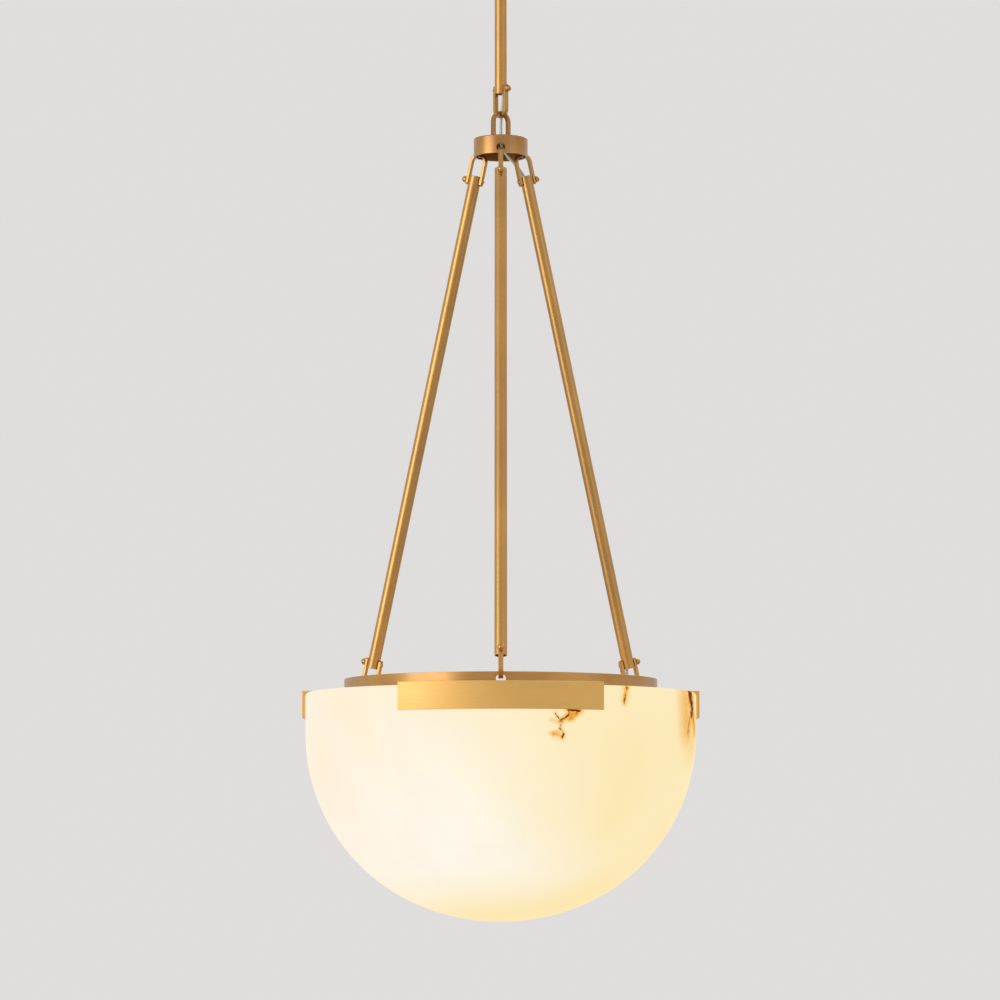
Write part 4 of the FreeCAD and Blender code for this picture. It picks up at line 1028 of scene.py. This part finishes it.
class PENDANT_OT_straps(bpy.types.Operator):
    """Model the bent straps: the stem's shackle, the hub's loop and the shackles at both ends of each rod"""
    bl_idname = "pendant.straps"
    bl_label = "Bent straps"

    def execute(self, context):
        settings = context.scene.pendant_hardware
        margin = settings.end_margin
        bend = settings.tube_radius + settings.strap_gap
        model_strap(context, bend, STEM_BOLT_PLACE.z - STEM_BEND_CENTRE.z + margin, True)
        put(STEM_BEND_CENTRE, SHACKLE_SIDE, UP)
        finish_piece(context.object, "brass", "stem_shackle", "stem_link", brass("toned_fine"))

        loop_bend = settings.loop_gap / 2
        loop_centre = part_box("hub_loop")[1].z - settings.strap_thickness - loop_bend
        model_strap(context, loop_bend, loop_centre - HUB_TOP, False)
        put(UP * loop_centre, LOOP_SIDE, -UP)
        finish_piece(context.object, "brass", "hub_loop", "hub", brass("browned_fine"))

        bend_to_bolt = settings.throat - bend + margin
        nodes = []
        places = []
        for side in SIDES:
            upper, lower, down, across = rod_lines(side)
            nodes += [("hub_shackle_" + side, "hub"), ("ring_shackle_" + side, "rod_" + side)]
            places += [(upper - down * bend_to_bolt, across, down),
                       (lower + down * bend_to_bolt, across, -down)]
        model_strap(context, bend, bend_to_bolt + margin, True)
        for (node, body), shackle in zip(nodes, copies(places)):
            finish_piece(shackle, "brass", node, body, brass("toned_fine"))
        return {"FINISHED"}


class PENDANT_OT_ring(bpy.types.Operator):
    """Model the brass ring, with an eased hole for each rod's shackle"""
    bl_idname = "pendant.ring"
    bl_label = "Ring"

    def execute(self, context):
        settings = context.scene.pendant_frame
        outer = settings.ring_radius
        inner = outer - settings.ring_thickness
        turn(boxed(inner, outer, RING_BOTTOM, RING_TOP), RING_STEPS)
        holes = around((outer + inner) / 2, RING_TOP - settings.hole_drop)
        drill(holes, settings.ring_hole, 4 * settings.ring_thickness)
        ease(settings.ring_ease, segments=3)
        finish_piece(context.object, "brass", "ring", "bowl_frame", brass("browned_round"))
        return {"FINISHED"}


class PENDANT_OT_clips(bpy.types.Operator):
    """Model the three bent clips over the bowl's rim, with their studs, and the soft pads under them"""
    bl_idname = "pendant.clips"
    bl_label = "Rim clips and pads"

    def execute(self, context):
        settings = context.scene.pendant_frame
        bowl = context.scene.pendant_bowl
        inside = bowl.radius - bowl.wall
        tab = settings.ring_radius + settings.seat_gap
        tab_back = tab + settings.clip_thickness
        tab_foot = RIM - settings.tab_drop
        under = RIM + settings.pad_thickness
        top = under + settings.clip_thickness
        apron = bowl.radius + settings.apron_gap
        apron_face = apron + settings.apron_thickness
        apron_foot = RIM - settings.apron_drop
        outline = [(tab, tab_foot), (tab, top), (apron_face, top), (apron_face, apron_foot),
                   (apron, apron_foot), (apron, under), (tab_back, under), (tab_back, tab_foot),
                   (tab, tab_foot)]
        pad = boxed(inside + settings.pad_inset, bowl.radius - settings.pad_inset, RIM, under)
        stud_height = UP * (RIM - bowl.stud_drop)
        half = math.degrees(settings.clip_angle) / 2
        places = [(Vector(), direction(angle), UP) for angle in SIDES.values()]
        turn(outline, ROUND_STEPS, settings.clip_angle, -half)
        ease(settings.clip_ease)
        clip = context.object
        for outward in stud_ways(0):
            root = outward * (apron + apron_face) / 2 + stud_height
            tip = outward * (inside - settings.stud_reach) + stud_height
            stud = peg(root, tip, settings.stud)
            ease(context.scene.pendant_brass.ease)
            combine(clip, stud, "UNION")
        for side, piece in zip(SIDES, copies(places)):
            finish_piece(piece, "brass", "rim_clip_" + side, "bowl_frame", brass("bright_round"))

        turn(pad, ROUND_STEPS, settings.clip_angle, -half)
        ease(settings.pad_thickness / 4)
        finish_piece(join(copies(places)), "soft", "clip_pads", "bowl_frame", plain("soft_silicone"))
        return {"FINISHED"}


def bush_place(context):
    """Where the cord goes into the hub's top."""
    return Vector((0, context.scene.pendant_frame.bush_setback, HUB_TOP))


class PENDANT_OT_hub(bpy.types.Operator):
    """Model the upturned cup of the hub, with its shackle holes, and the bush that the cord goes in by"""
    bl_idname = "pendant.hub"
    bl_label = "Hub and cord bush"

    def execute(self, context):
        settings = context.scene.pendant_frame
        hardware = context.scene.pendant_hardware
        radius = settings.hub_radius
        inside = radius - settings.hub_wall
        thickness = settings.hub_top_thickness
        ceiling = HUB_TOP - thickness
        rounding = settings.hub_rounding
        shoulder = arc((radius - rounding, HUB_TOP - rounding), rounding, 90, 0, steps=4)
        turn([(0, HUB_TOP)] + shoulder + [(radius, HUB_BOTTOM), (inside, HUB_BOTTOM), (inside, ceiling),
                                          (0, ceiling)], 2 * ROUND_STEPS)
        holes = around((radius + inside) / 2, HUB_BOTTOM + settings.hub_hole_rise)
        drill(holes, settings.hub_hole, 4 * settings.hub_wall)
        drill([(bush_place(context), UP)], settings.bush_neck + hardware.thread_room, 4 * thickness)
        ease(context.scene.pendant_brass.ease)
        top = UP * HUB_TOP
        leg = LOOP_SIDE * (hardware.loop_gap + hardware.strap_thickness) / 2
        drill([(top + leg, UP), (top - leg, UP)], hardware.loop_stud + hardware.thread_room, 4 * thickness)
        finish_piece(context.object, "brass", "hub", "hub", brass("browned_round"))

        bore = context.scene.pendant_cord.radius + settings.bush_gap
        neck = settings.bush_neck
        flange = settings.bush_flange
        height = settings.bush_height
        turn([(bore, -thickness), (neck, -thickness), (neck, 0), (flange, 0), (flange, height),
              (bore, height), (bore, -thickness)], ROUND_STEPS)
        ease(height / 4)
        put(bush_place(context), RIGHT, UP)
        finish_piece(context.object, "soft", "hub_grommet", "hub", plain("soft_silicone"))
        return {"FINISHED"}


def headed(radius, height, face, shank, end):
    """New turned piece: a domed head that stands on a face, and a shank or a bore from there to an end."""
    dome = []
    for step in range(DOME_STEPS + 1):
        angle = math.pi / 2 * step / DOME_STEPS
        rise = DOME_FOOT + (1 - DOME_FOOT) * math.cos(angle)
        dome.append((radius * math.sin(angle), face + height * rise))
    turn(dome + [(radius, face), (shank, face), (shank, end), (0, end)], ROUND_STEPS)


class PENDANT_OT_fasteners(bpy.types.Operator):
    """Model the round-headed bolts and cap nuts of the straps, and the soft washers on the clip studs"""
    bl_idname = "pendant.fasteners"
    bl_label = "Bolts, cap nuts and washers"

    def execute(self, context):
        settings = context.scene.pendant_hardware
        face = settings.tube_radius + settings.strap_gap + settings.strap_thickness
        tip = face + settings.bolt_tip
        headed(settings.bolt_head, -settings.bolt_head_height, -face, settings.bolt, tip)
        self.share_out("bolt", "hub_bolts")
        bore = settings.bolt + settings.thread_room
        headed(settings.nut, settings.nut_height, face, bore, face + settings.nut_depth)
        ease(context.scene.pendant_brass.ease / 2)
        self.share_out("nut", "hub_bolt_nuts")
        self.washers(context)
        return {"FINISHED"}

    def share_out(self, kind, hub_node):
        """Copy the active bolt or nut to the stem, to each rod's lower end and, as one node, to the hub."""
        at_ring = []
        at_hub = []
        for side in SIDES:
            upper, lower, down, across = rod_lines(side)
            at_ring.append((lower, down, across))
            at_hub.append((upper, down, across))
        stem_piece, *pieces = copies([(STEM_BOLT_PLACE, UP, SHACKLE_SIDE)] + at_ring + at_hub)
        finish_piece(stem_piece, "brass", "stem_" + kind, "stem_link", brass("toned_fine"))
        for side, piece in zip(SIDES, pieces):
            finish_piece(piece, "brass", "ring_" + kind + "_" + side, "rod_" + side, brass("toned_fine"))
        finish_piece(join(pieces[len(at_ring):]), "brass", hub_node, "hub", brass("toned_fine"))

    def washers(self, context):
        settings = context.scene.pendant_frame
        bowl = context.scene.pendant_bowl
        radius = bowl.radius - bowl.wall - settings.washer_gap
        height = UP * (RIM - bowl.stud_drop)
        places = []
        for angle in SIDES.values():
            places += [(outward * radius + height, UP, -outward) for outward in stud_ways(angle)]
        turn(boxed(settings.stud, settings.washer, 0, settings.washer_thickness), ROUND_STEPS)
        ease(settings.washer_thickness / 3, segments=3)
        finish_piece(join(copies(places)), "soft", "stud_washers", "bowl_frame", plain("soft_silicone"))


class PENDANT_OT_canopy(bpy.types.Operator):
    """Model the ceiling canopy and its slip collar"""
    bl_idname = "pendant.canopy"
    bl_label = "Canopy and collar"

    def execute(self, context):
        settings = context.scene.pendant_frame
        hole = context.scene.pendant_hardware.tube_radius + settings.slip_gap
        radius = settings.canopy_radius
        wall = settings.canopy_wall
        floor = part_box("canopy")[0].z
        rounding = settings.canopy_rounding
        corner = (radius - rounding, floor + rounding)
        outside = arc(corner, rounding, -90, 0, steps=8)
        inside = arc(corner, rounding - wall, 0, -90, steps=8)
        turn([(hole, floor)] + outside + [(radius, 0), (radius - wall, 0)] + inside
             + [(hole, floor + wall), (hole, floor)], 2 * ROUND_STEPS)
        ease(context.scene.pendant_brass.ease)
        finish_piece(context.object, "brass", "canopy", "canopy", brass("bright_round"))
        low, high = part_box("canopy_collar")
        turn(boxed(hole, settings.collar_radius, low.z, high.z), ROUND_STEPS)
        ease(2 * context.scene.pendant_brass.ease)
        finish_piece(context.object, "brass", "canopy_collar", "canopy", brass("bright_round"))
        return {"FINISHED"}


class PENDANT_OT_bulbs(bpy.types.Operator):
    """Model the three globe bulbs"""
    bl_idname = "pendant.bulbs"
    bl_label = "Bulbs"

    def execute(self, context):
        settings = context.scene.pendant_lamp
        neck_end = HOLDER_BOTTOM - settings.neck_length
        flare = math.sqrt(settings.globe ** 2 - settings.cap ** 2)
        neck_angle = math.degrees(math.asin(flare / settings.globe))
        globe = arc((0, neck_end - flare), settings.globe, neck_angle, -90, steps=24)
        globe[-1] = (0, neck_end - flare - settings.globe)
        turn([(0, BULB_TOP), (settings.cap, BULB_TOP), (settings.cap, HOLDER_BOTTOM)] + globe, ROUND_STEPS)
        places = [(direction(angle) * settings.circle, RIGHT, UP) for angle in LAMPS.values()]
        glass = lit_bulb()
        for side, bulb in zip(LAMPS, copies(places)):
            finish_piece(bulb, "glass", "bulb_" + side, "bowl_frame", glass)
        return {"FINISHED"}


def model_cord(context, points, radius):
    """Round cord on a smooth spline that follows a route's points."""
    curve = bpy.data.curves.new("route", "CURVE")
    curve.dimensions = "3D"
    curve.bevel_depth = radius
    curve.bevel_resolution = 4
    curve.resolution_u = 16
    curve.use_fill_caps = True
    spline = curve.splines.new("NURBS")
    spline.points.add(len(points) - 1)
    for control, point in zip(spline.points, points):
        control.co = (*point, 1)
    spline.order_u = 3
    spline.use_endpoint_u = True
    piece = bpy.data.objects.new("route", curve)
    context.scene.collection.objects.link(piece)
    select_only(piece)
    bpy.ops.object.convert(target="MESH")
    return context.object


class PENDANT_OT_cord(bpy.types.Operator):
    """Model the supply cord from the ceiling to the lamp plate and the leads of the three lamps"""
    bl_idname = "pendant.cord"
    bl_label = "Cord and leads"

    def execute(self, context):
        settings = context.scene.pendant_cord
        beside_bolt = context.scene.pendant_hardware.bolt + settings.radius + settings.gap
        self.in_links(context, beside_bolt)
        rod_end = self.in_rod(context, beside_bolt)
        self.on_plate(context, rod_end)
        return {"FINISHED"}

    def held(self, context, node, body, points):
        """Cord that keeps its shape on one body."""
        run = model_cord(context, points, context.scene.pendant_cord.radius)
        finish_piece(run, "cord", node, body, clear_cord())

    def flexing(self, context, node, body, next_body, points):
        """Cord that runs between two bodies and is attached to neither."""
        run = model_cord(context, points, context.scene.pendant_cord.radius)
        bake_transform(run)
        finish_piece(run, "cord", node, None, clear_cord())

    def in_links(self, context, beside_bolt):
        """Cord in the stem, in its shackle and in the hub's loop."""
        settings = context.scene.pendant_cord
        beside_strap = context.scene.pendant_hardware.strap_width / 2 + settings.radius + settings.gap
        ceiling_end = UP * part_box("stem_cord")[1].z
        below_nipple = UP * (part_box("hanger_nipple")[0].z - settings.lead_in)
        at_bolt = STEM_BOLT_PLACE + LOOP_SIDE * beside_bolt
        above_bolt = at_bolt + UP * settings.stem_foot
        leaves_stem = LOOP_SIDE * beside_bolt + UP * (STEM_END - settings.lead_in)
        past_link = (LOOP_SIDE - SHACKLE_SIDE) * beside_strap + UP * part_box("hub_loop")[1].z
        between = (leaves_stem + past_link) / 2
        bush = bush_place(context)
        above_bush = bush + UP * settings.bush_run
        self.held(context, "stem_cord", "ceiling_mount", [ceiling_end, below_nipple, above_bolt, at_bolt])
        self.flexing(context, "shackle_cord", "ceiling_mount", "stem_link", [at_bolt, leaves_stem, between])
        self.flexing(context, "link_cord", "stem_link", "hub", [between, past_link, above_bush, bush])

    def in_rod(self, context, beside_bolt):
        """Cord from the hub to its rod and down in it, to the place that this gives back."""
        settings = context.scene.pendant_cord
        upper, lower, down, across = rod_lines(CORD_SIDE)
        beside = direction(SIDES[CORD_SIDE] + 90) * beside_bolt
        start = upper + beside
        end = lower + beside
        bush = bush_place(context)
        below_bush = bush - UP * settings.bush_run
        above_rod = start - down * 2 * context.scene.pendant_hardware.end_margin
        self.held(context, "feed_cord", "hub", [bush, below_bush, above_rod, start - down * settings.gap])
        self.held(context, "rod_cord", "rod_" + CORD_SIDE, [start, (start + end) / 2, end])
        return end

    def on_plate(self, context, rod_end):
        """Cord from its rod past the ring to the lamp plate, and the leads of the lamps."""
        settings = context.scene.pendant_cord
        sizes = context.scene.pendant_frame
        radius = settings.radius
        down = rod_lines(CORD_SIDE)[2]
        outward = direction(SIDES[CORD_SIDE])
        beside = direction(SIDES[CORD_SIDE] + 90)
        past_rod = context.scene.pendant_hardware.end_margin + settings.lead_in
        ring_inside = sizes.ring_radius - sizes.ring_thickness
        step_top = sizes.ring_radius - settings.arm_seat
        step_foot = step_top - settings.arm_slope
        gap = settings.arm_gap
        low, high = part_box("lead_connector")
        connector = high.x + settings.end_gap
        connector_middle = (low.z + high.z) / 2

        def beside_arm(reach, height, sideways=settings.arm_side):
            return outward * reach + beside * sideways + UP * height

        self.held(context, "lamp_cord", "bowl_frame", [
            rod_end + down * settings.gap,
            rod_end + down * past_rod,
            beside_arm(ring_inside - gap, RING_TOP - gap),
            beside_arm(step_top - 2 * gap, RING_BOTTOM - gap),
            beside_arm(step_foot - 3 * gap, PLATE_TOP + 2 * radius),
            beside_arm(settings.plate_reach, PLATE_TOP + radius + settings.gap, settings.lead_in),
            beside_arm(connector, connector_middle, radius / 2),
        ])

        circle = context.scene.pendant_lamp.circle
        crest = UP * (PLATE_TOP + settings.lead_arch)
        model_cord(context, [
            RIGHT * connector + UP * connector_middle,
            RIGHT * (circle + connector) / 2 + crest,
            RIGHT * circle + crest,
            RIGHT * circle + UP * (PLATE_TOP - settings.lead_foot),
        ], settings.lead_radius)
        leads = copies([(Vector(), direction(angle), UP) for angle in LAMPS.values()])
        finish_piece(join(leads), "cord", "lamp_leads", "bowl_frame", clear_cord())


class PENDANT_OT_carried(bpy.types.Operator):
    """Give the solids that keep their own shape their finishes"""
    bl_idname = "pendant.carried"
    bl_label = "Carried-over solids"

    def execute(self, context):
        for node in frame["nodes"].values():
            if node.hide_render:
                continue
            slot = node.material_slots[0].material.name.split(".")[0]
            for holder in node.material_slots:
                holder.material = plain(slot) if slot in PLAIN_LOOKS else brass("toned_fine")
        return {"FINISHED"}


class PENDANT_OT_stage(bpy.types.Operator):
    """Make the floor, the background, the lights and the camera"""
    bl_idname = "pendant.stage"
    bl_label = "Stage"

    def execute(self, context):
        settings = context.scene.pendant_stage
        bpy.ops.mesh.primitive_plane_add(size=settings.floor_size, location=(0, 0, -settings.floor_drop))
        floor = context.object
        floor.name = "floor"
        floor.data.materials.append(self.floor_finish(settings))
        self.light_world(context)
        middle = Vector((0, 0, (CAD_BOX[0].z + CAD_BOX[1].z) / 2))
        for name, (place, size, watts) in SOFTBOXES.items():
            self.softbox(context, name, Vector(place), middle, size, watts)
        self.camera(context)
        context.scene.view_settings.view_transform = "Standard"
        return {"FINISHED"}

    @staticmethod
    def floor_finish(settings):
        paler = [channel * FLOOR_MOTTLE for channel in settings.floor]
        material = mottled("floor_plain", settings.floor, paler, scale=2.0, roughness=0.6, grain=0.02)
        nodes = Nodes(material.node_tree)
        shader = nodes.tree.nodes["Principled BSDF"]
        ray = nodes.add("ShaderNodeLightPath").outputs
        nodes.feed(shader.inputs["Emission Color"], settings.floor_lift)
        nodes.feed(shader.inputs["Emission Strength"], ray["Is Camera Ray"])
        return material

    @staticmethod
    def light_world(context):
        """Even light from all round, and a plain background for what the camera and shiny pieces see."""
        settings = context.scene.pendant_stage
        world = bpy.data.worlds.new("pale_studio")
        context.scene.world = world
        world.use_nodes = True
        world.node_tree.nodes.clear()
        nodes = Nodes(world.node_tree)
        even = nodes.add("ShaderNodeBackground", {"Color": (1, 1, 1), "Strength": settings.daylight})
        backdrop = nodes.add("ShaderNodeBackground", {"Color": settings.background})
        ray = nodes.add("ShaderNodeLightPath").outputs
        seen = nodes.maths("MAXIMUM", ray["Is Camera Ray"], ray["Is Glossy Ray"])
        seen = nodes.maths("MAXIMUM", seen, ray["Is Transmission Ray"])
        inputs = {"Fac": seen, 1: even.outputs["Background"], 2: backdrop.outputs["Background"]}
        light = nodes.add("ShaderNodeMixShader", inputs)
        nodes.add("ShaderNodeOutputWorld", {"Surface": light.outputs["Shader"]})

    @staticmethod
    def softbox(context, name, place, aim, size, watts):
        bpy.ops.object.light_add(type="AREA", location=place)
        lamp = context.object
        lamp.name = name
        lamp.data.size = size
        lamp.data.energy = watts
        lamp.rotation_euler = (aim - place).to_track_quat("-Z", "Y").to_euler()

    @staticmethod
    def camera(context):
        settings = context.scene.pendant_stage
        place = (-settings.side_step, -settings.distance, RIM - settings.below_rim)
        bpy.ops.object.camera_add(location=place)
        camera = context.object
        camera.rotation_euler = (math.pi / 2 + settings.tilt, 0, 0)
        camera.data.lens = settings.lens
        camera.data.sensor_width = SENSOR_WIDTH
        context.scene.camera = camera


CLASSES = [
    PENDANT_OT_bowl,
    PENDANT_OT_ring,
    PENDANT_OT_clips,
    PENDANT_OT_hub,
    PENDANT_OT_straps,
    PENDANT_OT_tubes,
    PENDANT_OT_fasteners,
    PENDANT_OT_canopy,
    PENDANT_OT_bulbs,
    PENDANT_OT_cord,
    PENDANT_OT_carried,
    PENDANT_OT_stage,
]


class PENDANT_PT_panel(bpy.types.Panel):
    """Buttons and settings of the pendant's pieces"""
    bl_label = "Pendant"
    bl_idname = "PENDANT_PT_panel"
    bl_space_type = "VIEW_3D"
    bl_region_type = "UI"
    bl_category = "Pendant"

    def draw(self, context):
        for operator in CLASSES:
            self.layout.operator(operator.bl_idname)
        for name in GROUPS:
            box = self.layout.box()
            box.label(text=name.replace("_", " ").capitalize())
            for key in GROUPS[name].__annotations__:
                box.prop(getattr(context.scene, name), key)


def register():
    for name, group in GROUPS.items():
        bpy.utils.register_class(group)
        setattr(bpy.types.Scene, name, bpy.props.PointerProperty(type=group))
    for operator in CLASSES:
        bpy.utils.register_class(operator)
    bpy.utils.register_class(PENDANT_PT_panel)


def unregister():
    bpy.utils.unregister_class(PENDANT_PT_panel)
    for operator in reversed(CLASSES):
        bpy.utils.unregister_class(operator)
    for name, group in reversed(GROUPS.items()):
        delattr(bpy.types.Scene, name)
        bpy.utils.unregister_class(group)


def main():
    register()
    for operator in CLASSES:
        getattr(bpy.ops.pendant, operator.bl_idname.split(".")[1])()


if __name__ == "__main__":
    main()
